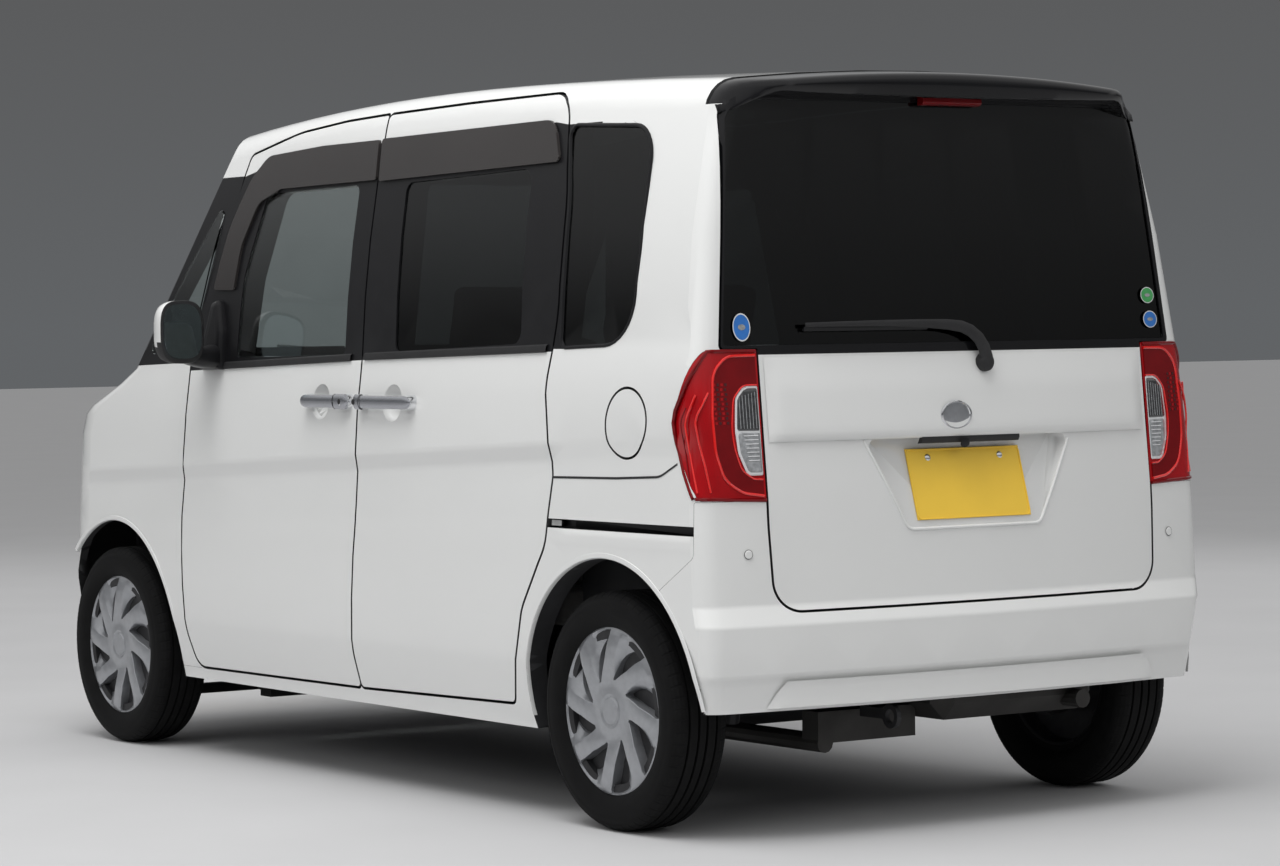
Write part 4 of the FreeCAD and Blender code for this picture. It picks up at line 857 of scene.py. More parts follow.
def make_body_skins():
    cuts = [*SIDE_CREASES, *QUARTER_CREASES, *(level(z) for z in (*PILLAR_BAND, *WINDOW_BAND)),
            *(((x, 0, 0), (1, 0, 0)) for x in (BAND_FRONT_X, BAND_REAR_X))]
    # The edge finish paints the panels' edges and gap walls dark, as painted shade in the gaps
    for _, word in HANDS:
        skin(f"body_side_{word}", "paint", cuts=cuts, zone=body_zone, more=("black_satin", "under"),
             edge="black_trim", depth=400.0)
    for node in ("roof", "fenders", "bonnet", "front_bumper", "fuel_lid"):
        forms = ("side", "nose", "screen", "tail") if node == "roof" else ("side", "nose", "tail")
        cuts = SIDE_CREASES if node == "fenders" else ()
        skin(node, "paint", forms=forms, cuts=cuts, edge="black_trim", depth=30.0)
    skin("rear_bumper", "paint", cuts=SIDE_CREASES + TAIL_CREASES, zone=bumper_zone,
         more=("black_satin", "under"), edge="black_trim", depth=400.0)


def make_door_skins():
    more = ("black_satin", "cabin", "paint")
    cuts = [*SIDE_CREASES, *line_cuts(BELT_LOW), *line_cuts(FRONT_TOP)]
    # The edge finish paints the doors' and the tailgate's edges dark, as painted shade in the gaps
    for _, word in HANDS:
        skin(f"front_door_{word}", "paint", cuts=cuts, zone=door_zone(FRONT_TOP), more=more,
             edge="black_trim")
    cuts = [*SIDE_CREASES, *line_cuts(BELT_LOW[:3]), *line_cuts(SLIDE_TOP)]
    skin("sliding_doors", "paint", cuts=cuts, zone=door_zone(SLIDE_TOP), more=more, edge="black_trim")
    more = ("black_gloss", "cabin", "paint")
    skin("tailgate", "paint", cuts=[*TAIL_CREASES, level(GATE_BELT)], zone=gate_zone, more=more,
         edge="black_trim")


def make_other_skins():
    """The windscreen with its border, and the other glass, lamps and grilles."""
    cuts = [level(z) for z in SCREEN_BAND]
    for hand, _ in HANDS:
        across = Vector((0, SCREEN_SLANT[1], hand * SCREEN_SLANT[0])).normalized()
        cuts.append(((0, hand * SCREEN_SIDE[0], SCREEN_SIDE[1]), across))
    skin("windscreen", "clear_glass", forms=("screen",), cuts=cuts, zone=screen_zone, more=("black_gloss",))
    finishes = {
        "front_door_glass_left": "clear_glass", "front_door_glass_right": "clear_glass",
        "front_quarter_glass": "clear_glass", "privacy_glass": "privacy", "tailgate_glass": "rear_glass",
        "front_visor_left": "visor", "front_visor_right": "visor", "rear_visors": "visor",
        "tail_lamps": "red", "headlamps": "lens", "grille": "black_trim", "cowl": "black_trim",
    }
    for node, material in finishes.items():
        skin(node, material)


def make_plain():
    """CAD nodes that are kept, with a better finish."""
    finishes = {
        "floor": "under", "front_suspension": "cast", "rear_axle": "cast", "tow_eyes": "cast",
        "engine": "alloy", "exhaust": "pipe", "fuel_tank": "under", "dashboard": "cabin",
        "steering_wheel": "cabin", "front_wipers": "black_trim", "rear_plate": "plate",
        "front_plate": "plate", "knuckle_left": "cast", "knuckle_right": "cast",
    }
    for node, material in finishes.items():
        obj = NODES[node]
        obj.data.materials.clear()
        obj.data.materials.append(FINISH[material])


# Rubbers and lines on the side

def quarter_moulding(hand, word):
    """The rubber round the rear quarter glass."""
    profile = ((-2.0, -3.0), (0.0, 1.2), (3.0, 2.0), (6.0, 1.2), (8.0, -2.5))
    loops = [grow(QUARTER_WINDOW, by) for by, _ in profile]
    rings = []
    for k, (_, height) in enumerate(grow(QUARTER_WINDOW, 3.0)):
        lift = 3.0 * min(max((height - 1450) / 110, 0.0), 1.0)
        rings.append([on_side(*loop[k], off + lift, hand) for loop, (_, off) in zip(loops, profile)])
    sweep(f"quarter_moulding_{word}", rings + rings[:1], "car", "black_satin", closed=False)


def strip_row(x, z, profile, hand):
    """One row of a strip on the side, from (height, lift) pairs."""
    return [(x, hand * (side_y(x, z + high) + off), z + high) for high, off in profile]


def belt_trim(hand, word):
    """Rubber strips along the foot of the windows."""
    profile = ((-7, 0.5), (-6, 4.5), (0, 6.0), (9, 5.0), (12, 0.5))
    for name, x0, x1, body in (("front", -96, 700, f"{word}_front_door"), ("sliding", -996, -162, "car")):
        rings = [strip_row(x, along(BELT_LOW, x) + 6, profile, hand) for x in np.linspace(x0, x1, 30)]
        sweep(f"belt_trim_{name}_{word}", rings, body, "black_trim", closed=False)


def quarter_seam(hand, word):
    """The panel seam under the fuel lid."""
    seam = open_line([(QUARTER_X, 797, 0), (-1300, 801, 0), (-1470, 808, 80), (-1536, 838, 0)], 6)
    profile = ((2.6, 0.25), (1.6, 0.5), (-1.6, 0.5), (-2.6, 0.25))
    rings = [strip_row(x, z, profile, hand) for x, z in dense(seam, 25)]
    sweep(f"quarter_seam_{word}", rings, "car", "black_trim", closed=False)


def arch_edges(hand, word):
    """Edges that catch the light round the wheel arches."""
    profile = ((345.5, -9), (346.2, -1.2), (348.2, 0.9), (352, 1.1), (359, 0.4), (360, -1.5))
    for place, first, last in (("front", 46, 184), ("rear", -6, 176)):
        rings = []
        for a in np.radians(np.linspace(first, last, 60)):
            rings.append([on_side(AXLE_X[place] + r * math.cos(a), TYRE_R + r * math.sin(a), off, hand)
                          for r, off in profile])
        sweep(f"arch_edge_{place}_{word}", rings, "car", "paint", closed=False)


# Wheels

def spun(name, centre, hand, profile, body, material, replaces, n):
    """A ring round the wheel's axis from a profile of (radius, height outward)."""
    points = []
    for c, s in circle(0, 0, 1, n):
        points += [(centre[0] + r * c, centre[1] + hand * y, centre[2] + r * s) for r, y in profile]
    mesh = raw_mesh(name, points, joined(n, len(profile), round_rows=True))
    face_out(mesh)
    mesh.set_sharp_from_angle(angle=math.radians(38))
    return add(name, mesh, body, material, (replaces,))


def tyre_profile():
    h = TYRE_HALF
    half = [(173, h - 22), (186, h - 22), (192, h - 15), (204, h - 4), (222, h - 0.6), (236, h - 1.0),
            (240, h - 2.2), (243, h - 1.6), (254, h - 5), (262, h - 11), (268, h - 20), (270.5, h - 30)]
    grooves = [(270.8, 40), (264, 39.2), (264, 34.6), (271.2, 34), (271.7, 14.5), (264, 14), (264, 8.4),
               (271.9, 8)]
    outer = half + grooves
    return [*outer, (TYRE_R, 0), *((r, -y) for r, y in reversed(outer))]


def rim_profile():
    h = TYRE_HALF
    return [(172, 21 - h), (172, h - 22), (184, h - 21), (184.5, h - 19), (180, h - 18.5), (166, h - 19.5),
            (164, 20), (150, 6), (118, 2), (100, 16), (60, 14), (45, 2), (45, -20), (60, -8), (100, -2),
            (160, -14), (166, 24 - h)]


def tread_blocks(name, centre, body):
    """Low blocks round both shoulders of a tyre, with sipes left between them."""
    shoulder = [(43.5, 270.6, 0.5), (48, 270.3, 1), (57.5, 267.9, 1), (66.5, 261.9, 1), (71, 256.5, 0.5)]
    blocks = 64
    points, faces = [], []
    for i in range(blocks):
        for sign in (1, -1):
            base = len(points)
            for k, (y, r, share) in enumerate(shoulder):
                for part, lift in ((0.06, 0.0), (0.12, 0.9), (0.88, 0.9), (0.94, 0.0)):
                    a = 2 * math.pi * (i + part + 0.05 * k * sign) / blocks
                    high = r + lift * share
                    points.append((centre[0] + high * math.cos(a), centre[1] + sign * (y + 0.4 * lift),
                                   centre[2] + high * math.sin(a)))
            for quad in joined(len(shoulder), 4, round_row=False):
                faces.append([base + j for j in (quad if sign < 0 else quad[::-1])])
    add(name, raw_mesh(name, points, faces, smooth=False), body, "rubber")


# One opening of the wheel cover, in degrees from a spoke's foot: radius, leading, trailing, ridge
OPENING = [(74, 10.0, 15.0, 9.0), (90, 11.0, 25.0, 9.6), (105, 13.0, 31.5, 10.4), (118, 15.2, 36.0, 11.0),
           (140, 21.0, 40.0, 12.0), (160, 29.0, 43.0, 13.0), (176, 37.5, 45.5, 13.8), (187, 38.0, 46.0, 14.2)]
# The cover's face, as (radius, height), and how far a spoke's leading flank falls
COVER_FACE = [(0, 67.0), (29, 67.0), (30, 66.2), (32, 64.0), (34, 64.0), (40, 66.5), (62, 65.0), (80, 66.0),
              (120, 69.0), (150, 68.6), (174, 66.4), (186, 63.5), (190, 61.5), (192, 59.3)]
FLANK_FALL = [(76, 0.0), (110, 12.0), (150, 19.0), (176, 23.0), (187, 0.0)]
COVER_RADII = [4, 12, 20, 26, 29, 30.2, 32, 34, 37, 40, 46, 54, 62, 68, 72, 74, 75, *np.linspace(80, 172, 20),
               175, 176, 179, 182, 185, 187, 188.5, 190, 191.2, 192]
OPEN_FROM, OPEN_TO = 74.5, 175.5
SLOPE_FROM, SLOPE_RUN = 176, 11.5
FLOOR_Y = 44.0
SPOKES = 8
TURN = 360.0 / SPOKES


def cover_row(r):
    """Angles, heights and finish round one spoke of the wheel cover, at a radius."""
    radii, *edges = zip(*OPENING)
    lead, trail, ridge = (float(np.interp(r, radii, edge)) for edge in edges)
    top, fall = along(COVER_FACE, r), along(FLANK_FALL, r)
    crown = 1.4 * min(max((r - 60) / 30, 0), 1) * min(max((188 - r) / 10, 0), 1)
    is_open = OPEN_FROM < r < OPEN_TO
    low = FLOOR_Y + (top - FLOOR_Y) * min(max((r - SLOPE_FROM) / SLOPE_RUN, 0.0), 1.0)
    row = []
    for t in np.linspace(0.03, 1, 9):
        row.append((trail - TURN + (ridge - trail + TURN) * t, top + crown * math.sin(math.pi * t), 0))
    row += [(ridge + (lead - ridge) * t, top - fall * t**1.25, 0) for t in (0.05, 0.3, 0.55, 0.8, 1.0)]
    for t in (0.03, 0.25, 0.5, 0.75, 0.97):
        row.append((lead + (trail - lead) * t, low if r > OPEN_FROM else top, int(is_open)))
    row.append((trail, top - 1.2 if is_open else top, 0))
    return row


def cover(name, centre, hand, body):
    """The wheel cover, with eight swept and faceted spokes."""
    points, dark = [], []
    for r in COVER_RADII:
        for k in range(SPOKES):
            for angle, height, mark in cover_row(r):
                a = math.radians(90 + hand * (angle + TURN * k))
                points.append((centre[0] + r * math.cos(a), centre[1] + hand * height,
                               centre[2] + r * math.sin(a)))
                dark.append(mark)
    n = len(points) // len(COVER_RADII)
    mesh = raw_mesh(name, points, joined(len(COVER_RADII), n) + [list(range(n))])
    face_out(mesh, Vector((0, hand, 0)))
    add(name, mesh, body, ["silver", "steel"])
    for face in mesh.polygons:
        face.material_index = min(dark[v] for v in face.vertices)
    mesh.set_sharp_from_angle(angle=math.radians(15))


def wheel_pieces(place, hand, word):
    wheel = f"{place}_{word}"
    body = f"{wheel}_wheel"
    centre = (AXLE_X[place], hand * TRACK / 2, TYRE_R)
    spun(f"tyre_{wheel}_skin", centre, hand, tyre_profile(), body, "rubber", f"tyre_{wheel}", 112)
    tread_blocks(f"tyre_lugs_{wheel}", centre, body)
    spun(f"rim_{wheel}", centre, hand, rim_profile(), body, "steel", f"wheel_{wheel}", 72)
    cover(f"cover_{wheel}", centre, hand, body)


# Tail

def make_ledge():
    """The swelling of the tailgate above the plate."""
    def where(y, z):
        height = along([(884, 0), (889, 0.85), (905, 1.0), (1000, 0.7), (1066, 0.0)], z)
        return (tail_at(y, z) - 0.4 - 9.0 * height * along([(520, 1), (545, 0)], abs(y)), y, z)

    loop = [(-546, 882), (-300, 882), (300, 882), (546, 882), (546, 1070), (-546, 1070)]
    patch("tailgate_ledge", loop, where, "tailgate_lid", "paint", 14.0)


def sensor(hand, word):
    """A round sensor in the bumper, with a dark ring."""
    at = (hand * 614, 639)
    patch(f"sensor_{word}", circle(*at, 9.5, 24), on_tail(1.5), "car", "paint", 6.0, thick=1.5)
    patch(f"sensor_ring_{word}", circle(*at, 10.8, 24), on_tail(0.7), "car", "black_trim", 6.0)


SPOILER_Y = 603


def make_spoiler():
    """The end piece of the roof, with a rounded lip, and the high brake lamp under it."""
    tree = FORMS["side"]["tree"]
    rings = []
    for y in np.linspace(-SPOILER_Y, SPOILER_Y, 73):
        k = abs(y) / SPOILER_Y
        end = ease((k - 0.80) / 0.20)
        crown = tree.ray_cast(Vector((-1560, y, 2200)), Vector((0, 0, -1)))[0].z
        rear = -1641 + 26 * k * k
        low = 1652 + 10 * k * k
        middle = [(-1503, crown), (-1540, crown - 1.5), (-1580, crown - 5), (rear + 22, crown - 9),
                  (rear + 10, crown - 12), (rear + 3, crown - 18), (rear, crown - 26),
                  (rear + 2, (crown - 26 + low) / 2), (rear + 5, low), (rear + 9, low - 3),
                  (rear + 22, low - 2), (-1585, low - 6), (-1570, low - 10)]
        edge = [(-1503, crown), (-1510, crown - 1), (-1518, crown - 3), (-1525, crown - 6),
                (-1530, crown - 9), (-1534, crown - 13), (-1537, crown - 17), (-1541, 1628), (-1546, 1614),
                (-1546, 1611), (-1542, 1609), (-1536, 1609), (-1530, 1610)]
        rings.append([(a[0] + (b[0] - a[0]) * end, y, a[1] + (b[1] - a[1]) * end)
                      for a, b in zip(middle, edge)])
    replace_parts(sweep("spoiler_skin", rings, "tailgate_lid", "black_gloss"), "spoiler")
    profile = [(-1611, 1649), (-1613, 1640), (-1606, 1634), (-1590, 1633), (-1590, 1649)]
    rows = [[(x, y, z) for x, z in profile] for y in np.linspace(-85, 85, 9)]
    sweep("high_brake_lamp", rows, "tailgate_lid", "red_deep")


# Tail lamps, drawn with u as the way round the corner from the car's middle

LAMP_PLANS = {}
LAMP_RIM = [(566, 1083), (686, 1084), (732, 1026), (786, 956), (796, 928), (790, 884), (770, 818),
            (744, 763), (564, 756)]
GUIDE = [(569, 1074, 0), (640, 1073, 40), (676, 1040, 60), (684, 940, 200), (682, 862, 120), (664, 800, 60),
         (620, 773, 60), (569, 766, 0)]
INNER_LINE = [(569, 1009, 0), (605, 1009, 30), (630, 980, 40), (639, 912, 200), (634, 868, 150),
              (620, 822, 40), (592, 803, 20), (569, 802, 0)]
BROAD_RIBS = [
    [(690, 994, 0), (718, 946, 40), (724, 928, 30), (718, 884, 200), (708, 834, 100), (700, 776, 0)],
    [(718, 990, 0), (744, 942, 40), (750, 924, 30), (744, 876, 100), (736, 818, 100), (730, 776, 0)],
]
FINE_RIB = [(744, 962, 0), (766, 930, 30), (758, 870, 100), (748, 800, 0)]
REVERSE = [(570, 904, 2), (624, 906, 8), (621, 862, 60), (603, 818, 12), (570, 818, 3)]
DARK_UNIT = [(570, 1002, 4), (600, 1002, 22), (620, 980, 22), (626, 910, 6), (570, 909, 2)]
WHITE_RIM = [(568, 1007, 4), (603, 1007, 24), (625, 982, 26), (631, 910, 100), (627, 860, 60), (607, 811, 14),
             (568, 811, 4)]


def lamp_plan(z):
    """The tail's half plan at a height, and the way along it."""
    key = round(z, 2)
    if key not in LAMP_PLANS:
        start = REAR_X + at_height(TAIL_ROWS, z)
        plan = np.array(half_plan(start, side_y(start, z) + PLAN_GAP, CORNER_R, TAIL_TURN, FRONT_X))
        steps = np.linalg.norm(np.diff(plan, axis=0), axis=1)
        LAMP_PLANS[key] = plan.T, np.concatenate([[0], np.cumsum(steps)])
    return LAMP_PLANS[key]


def lamp_point(u, z, off, hand):
    """A place on the smooth tail, u mm round from the middle at a height."""
    z = min(max(z, 700.0), 1110.0)
    plan, run = lamp_plan(z)
    x, y = (float(np.interp(u, run, column)) for column in plan)
    dx, dy = (float(np.interp(u + 3, run, column)) - c for column, c in zip(plan, (x, y)))
    size = math.hypot(dx, dy) or 1.0
    return (x - dy / size * off, hand * (y + dx / size * off), z)


def light_line(name, line, radius, material, hand, off=0.6, sides=8):
    """A thin round bar that follows the lamp."""
    path = [lamp_point(u, z, off, hand) for u, z in dense(line, 9)]
    tube(name, path, radius, "car", material, sides=sides, up=(0.2, 0.1 * hand, 0.05))


def lamp_sheets(hand, word):
    """The lamp's inner panel, the white frame and the two units in it."""
    sheets = (("inner", open_line(GUIDE) + open_line(INNER_LINE)[::-1], 0.7, "red_deep", 0.0),
              ("white", outline(WHITE_RIM), 0.8, "lamp_white", 0.6),
              ("reverse", outline(REVERSE), 1.5, "lamp_grey", 0.5),
              ("dark", outline(DARK_UNIT), 1.5, "lamp_dark", 0.5))
    for name, loop, off, material, thick in sheets:
        patch(f"lamp_{name}_{word}", loop, lambda u, z: lamp_point(u, z, off, hand), "car", material, 10.0,
              thick)


def lamp_lines(hand, word):
    """Light guides, ribs and the fine flutes of the two units."""
    light_line(f"lamp_guide_{word}", open_line(GUIDE), 3.2, "red_bright", hand)
    light_line(f"lamp_inner_line_{word}", open_line(INNER_LINE), 2.0, "red_bright", hand)
    for k, rib in enumerate(BROAD_RIBS):
        light_line(f"lamp_rib_{word}_{k}", open_line(rib), 2.4, "red_bright", hand, 0.2)
    light_line(f"lamp_rib_{word}_2", open_line(FINE_RIB), 1.4, "red_deep", hand, 0.2)
    light_line(f"lamp_rim_{word}", LAMP_RIM, 4.5, "red_deep", hand, -1.5)
    for k in range(7):
        z = 844 + 9 * k
        flute = [(575, z), (601.5 + 1.5 * k, z)]
        light_line(f"reverse_flute_{word}_{k}", flute, 1.0, "lamp_white", hand, 1.8, 6)
    for k in range(6):
        u = 576 + 8 * k
        light_line(f"dark_flute_{word}_{k}", [(u, 914), (u, 994 - 2 * k)], 0.9, "lamp_grey", hand, 1.6, 6)


def lamp_cells(hand, word):
    """A field of small cells in the upper half of the lamp."""
    points, faces = [], []
    for row in range(9):
        for column in range(4):
            u, z = 644 + column * 9.5 + (row % 2) * 2, 1008 - row * 10.5
            face = [len(points) + k for k in range(4)]
            points += [lamp_point(u + a, z + b, 1.3, hand) for a, b in ((0, 0), (6, 0), (6, 6), (0, 6))]
            faces.append(face if hand > 0 else face[::-1])
    name = f"lamp_cells_{word}"
    cells = add(name, raw_mesh(name, points, faces, False), "car", ["lamp_cell", "red"])
    for face in cells.data.polygons:
        face.material_index = face.index % 2


# Nose

def headlamp_pieces(hand, word):
    """A dark bowl, two bright reflectors and an indicator behind the clear cover."""
    def spot(y, z, off):
        return (nose_at(y, z) - off, hand * y, z)

    shell = outline([(352, 748, 14), (600, 748, 20), (640, 842, 60), (600, 906, 26), (352, 896, 14)])
    patch(f"headlamp_bowl_{word}", [(hand * y, z) for y, z in shell], on_nose(-26), "car", "lamp_dark", 18.0,
          thick=1.5)
    bowl = ((1.0, 20), (1.0, 10), (0.92, 9), (0.80, 20), (0.62, 24), (0.60, 16), (0.55, 11), (0.3, 8),
            (0.05, 7.5))
    for n, (y, z, r, material) in enumerate(((425, 826, 46, "chrome"), (535, 824, 42, "lamp_white"))):
        rows = [(r * size, off) for size, off in bowl]
        turned(f"headlamp_reflector_{word}_{n}", (y, z), rows, spot, "car", material, 40)
    profile = ((-5, 18), (-4, 10), (4, 10), (5, 18))
    rows = [[spot(y, 886 + high, off) for high, off in profile] for y in np.linspace(372, 596, 16)]
    sweep(f"headlamp_strip_{word}", rows, "car", "lamp_white")


def make_intake():
    """The front's lower intake with its painted rim."""
    mouth = outline([(-400, 262, 24), (400, 262, 24), (432, 330, 30), (390, 402, 26), (-390, 402, 26),
                     (-432, 330, 30)])
    patch("front_intake", mouth, on_nose(0.8), "car", "black_trim", 24.0, thick=1.2)
    rim = [on_nose(1.0)(*p) for p in mouth + mouth[:2]]
    tube("front_intake_rim", rim, 5.0, "car", "paint", sides=10, up=(1, 0.02, 0.03))


def intake_bars(hand, word):
    """Level bars beside the number plate, which follow the nose."""
    profile = ((-4, -1), (4.2, -0.8), (6.0, 0), (4.2, 0.8), (-4, 1))
    for k in range(4):
        z = 282 + 32 * k
        ends = (hand * 172, hand * (385 - 6 * k))
        rows = [[(nose_at(y, z) + off, y, z + high * 4.5) for off, high in profile]
                for y in np.linspace(*ends, 25)]
        sweep(f"front_intake_bar_{word}_{k}", rows, "car", "black_satin")


def fog_lamp(hand, word):
    """A round cover with a small lamp in it."""
    y, z = hand * 520, 352
    disc = circle(y, z, 47, 40, 40 / 47)
    patch(f"fog_cover_{word}", disc, on_nose(0.8), "car", "black_trim", 14.0, thick=1.2)
    for n, (r, off, material) in enumerate(((27, 2.0, "chrome"), (23, 3.0, "lamp_white"))):
        x = nose_at(y, z) + off
        rings = [[(x + lift, *p) for p in circle(y, z, r * size, 32)]
                 for size, lift in ((1, -6), (1, 0), (0.85, 2), (0.4, 3))]
        sweep(f"fog_lamp_{word}_{n}", rings, "car", material)


# Mirrors, handles and wipers

MIRROR_Y, MIRROR_Z = 838.0, 1140.0
MIRROR_HALF = (67.0, 83.0)
MIRROR_SWEEP = 0.10


def mirror_loop(across, up, size, power=3.2):
    """The mirror's rounded outline, moved and scaled."""
    a, b = MIRROR_HALF
    return oval(MIRROR_Y + across, MIRROR_Z + up, a * size, b * size, power)


def mirror_cap(hand, word):
    """The housing, painted on its upper front and black below."""
    rows = [(561, 0.93), (562, 0.985), (566, 1.0), (590, 0.99), (608, 0.95), (622, 0.86), (632, 0.72),
            (638, 0.52), (639.5, 0.25)]
    rings = [[(x - (y - MIRROR_Y) * MIRROR_SWEEP, hand * y, z) for y, z in mirror_loop(0, (1 - k) * 8, k)]
             for x, k in rows]
    cap = sweep(f"mirror_cap_{word}", rings, f"{word}_front_door", ["paint", "black_trim"])
    for face in cap.data.polygons:
        x, y, z = face.center * 1000
        front = x + (abs(y) - MIRROR_Y) * MIRROR_SWEEP > 574
        face.material_index = 0 if front and z > 1096 + (abs(y) - 800) * 0.12 else 1
    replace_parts(cap, f"mirror_{word}")


def mirror_pane(hand, word):
    """The mirror's glass, which leans a little upward."""
    rings = [[(x - (y - MIRROR_Y) * MIRROR_SWEEP + (z - MIRROR_Z) * 0.05, hand * y, z)
              for y, z in mirror_loop(2, 2, size)] for x, size in ((564.0, 0.88), (556.0, 0.86))]
    sweep(f"mirror_pane_{word}", rings, f"{word}_front_door", "mirror_glass")


def mirror_foot(hand, word):
    """The arm and the sail that it stands on."""
    body = f"{word}_front_door"
    rows = [(822, 596, 1076, 26, 17), (800, 600, 1074, 32, 22), (775, 604, 1072, 36, 26),
            (748, 612, 1072, 40, 29), (722, 620, 1074, 44, 32)]
    rings = [[(x, hand * y, z) for x, z in oval(*ellipse, 3.0)] for y, *ellipse in rows]
    sweep(f"mirror_arm_{word}", rings, body, "black_satin")
    sail = outline([(578, 1039, 8), (694, 1037, 14), (682, 1120, 60), (650, 1218, 20), (612, 1226, 20),
                    (584, 1140, 60)])
    rings = [[on_side(x, z, off, hand) for x, z in grow(sail, -inset)]
             for off, inset in ((-6, 0), (10, 0), (19, 3), (23, 9), (24, 20))]
    sweep(f"mirror_sail_{word}", rings, body, "black_satin")


def blunt(gap, r):
    """How full a bar is at a distance from its rounded end."""
    return math.sqrt(max(1 - max(1 - gap / r, 0) ** 2, 0.02))


def handle_bar(start, end, cap, y, hand):
    """Rows of a bowed bar from its capped end to its plain end."""
    rows = []
    span = abs(end - start)
    for x in np.linspace(min(start, end), max(start, end), 33):
        near = abs(x - start)
        k = min(blunt(near, 9.0), blunt(span - near, 34.0))
        thick = 1.0 if near < cap else 0.0
        high, deep = 16.5 * k + 2.5 * thick * k, 8.0 * k + 0.5 * thick
        out = y + 19.0 + 4.5 * math.sin(math.pi * near / span)
        row = []
        for c, s in circle(0, 0, 1, 28):
            row.append((x, hand * (out + deep * math.copysign(abs(s) ** 0.9, s)),
                        HANDLE_Z + high * math.copysign(abs(c) ** 0.8, c)))
        rows.append(row)
    return rows


def handle(place, start, end, cap, body, hand, word):
    """A bar on two feet, with a line round it where its cap ends."""
    low, high = sorted((start, end))
    y = side_y((low + high) / 2, HANDLE_Z)
    bar = sweep(f"handle_{place}_{word}", handle_bar(start, end, cap, y, hand), body, "silver_gloss")
    foot = ((-2, 21, 18.5), (9, 20, 17.5), (20, 17, 14))
    for n, x in enumerate((low + 22, high - 22)):
        rings = [[(a, hand * (y + off), b) for a, b in oval(x, HANDLE_Z, wide, tall, 2.6, 28)]
                 for off, wide, tall in foot]
        sweep(f"handle_foot_{place}_{word}_{n}", rings, body, "chrome")
    seam = start + math.copysign(cap, end - start)
    line = [(seam, hand * (y + 21.5 + 10.0 * math.sin(q)), HANDLE_Z + 18.6 * math.cos(q))
            for q in np.linspace(0, 2 * math.pi, 28)]
    tube(f"handle_line_{place}_{word}", line, 0.8, body, "black_trim", sides=6)
    return bar, y


def handle_disc(name, x, y, r, lift, body, material, hand):
    """A small round cap on a handle."""
    def where(a, b, off):
        return (a, hand * (y + 28.2 + off), b)

    rows = ((r, -3), (r, lift), (r * 0.7, lift + 0.6))
    turned(name, (x, HANDLE_Z), rows, where, body, material, squash=1.15)


def handle_pieces(hand, word):
    """The handles of the front and the sliding door, with the round caps at their ends."""
    door = f"{word}_front_door"
    bar, y = handle("front", -128.0, 110.0, 56.0, door, hand, word)
    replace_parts(bar, f"front_door_handle_{word}")
    handle_disc(f"handle_end_front_{word}_0", -102.0, y, 9.0, 0.0, door, "chrome", hand)
    handle_disc(f"handle_end_front_{word}_1", -102.0, y, 6.0, 1.2, door, "black_trim", hand)
    bar, y = handle("sliding", -166.0, -436.0, 38.0, "car", hand, word)
    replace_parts(bar, "sliding_door_handles")
    handle_disc(f"handle_end_sliding_{word}_1", -175.0, y, 6.0, 1.2, "car", "black_trim", hand)


def rear_wiper():
    """A bent arm with a cap on its pivot, and the blade under it."""
    path = [(-50, 1050, 17), (-49, 1062, 17.5), (-43, 1083, 16.5), (-30, 1104, 15.5), (-8, 1121, 14.5),
            (20, 1131, 13.5), (60, 1136, 12), (130, 1139, 9.5), (220, 1140.5, 7.5), (330, 1140.5, 6),
            (444, 1139.5, 4.5)]
    points = [on_tail(17 if i < 5 else 19 - 0.4 * (i - 5))(y, z) for i, (y, z, _) in enumerate(path)]
    arm = tube("rear_wiper_arm", points, [r for _, _, r in path], "tailgate_lid", "black_trim", sides=16,
               squash=0.42, up=(1, 0, 0))
    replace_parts(arm, "rear_wiper")
    foot = tail_at(-50, 1050)
    rows = ((22, 1), (22, 8), (20.5, 17), (17.5, 21), (12, 23), (5, 23.6))
    turned("rear_wiper_cap", (-50, 1049), rows, lambda y, z, off: (foot - off, y, z), "tailgate_lid",
           "black_trim", 28)
    profile = ((-1.5, -3), (-9, -4), (-11, 3), (-9, 6), (-3, 2))
    rows = [[(tail_at(y, 1129) + off, y, 1129 + high) for off, high in profile]
            for y in np.linspace(110, 443, 12)]
    sweep("rear_wiper_blade", rows, "tailgate_lid", "black_satin")


# Small pieces of the tail

PLATE_LEAN = math.radians(16.3)
PLATE_AT = (-1654.0, 776.0)


def on_plate(y, up, off):
    """A place on the leaning rear plate."""
    s, c = math.sin(PLATE_LEAN), math.cos(PLATE_LEAN)
    return (PLATE_AT[0] + up * s - off * c, y, PLATE_AT[1] + up * c + off * s)


def plate_trim():
    """The plate's rim and its two bolts."""
    edge = outline([(-163, -80.5, 9), (163, -80.5, 9), (163, 80.5, 9), (-163, 80.5, 9)], 6)
    loop = [on_plate(*p, 0.8) for p in edge]
    tube("plate_rim", loop + loop[:2], 1.9, "tailgate_lid", "plate", sides=8, up=(1, 0.02, 0.03))
    for n, y in enumerate((-105, 105)):
        rows = ((8, 0), (8, 2), (6, 3.4), (2, 4))
        turned(f"plate_bolt_{n}", (y, 62), rows, on_plate, "tailgate_lid", "chrome", 18)


def grip_and_camera():
    """The dark strip over the plate and the camera's eye in it."""
    profile = ((5, 884), (-2.5, 883), (-3.5, 877), (1, 869), (14, 868))
    rows = [[(tail_at(y, 884) - 0.3 + off, y, z) for off, z in profile] for y in np.linspace(-142, 142, 14)]
    sweep("grip_strip", rows, "tailgate_lid", "black_trim")
    x = tail_at(24, 872) - 8
    rows = ((13, -6), (13, 4), (10, 8), (7, 9))
    turned("rear_camera", (24, 868), rows, lambda y, z, off: (x + off * 0.35, y, z - off * 0.94),
           "tailgate_lid", "black_satin", squash=0.35)


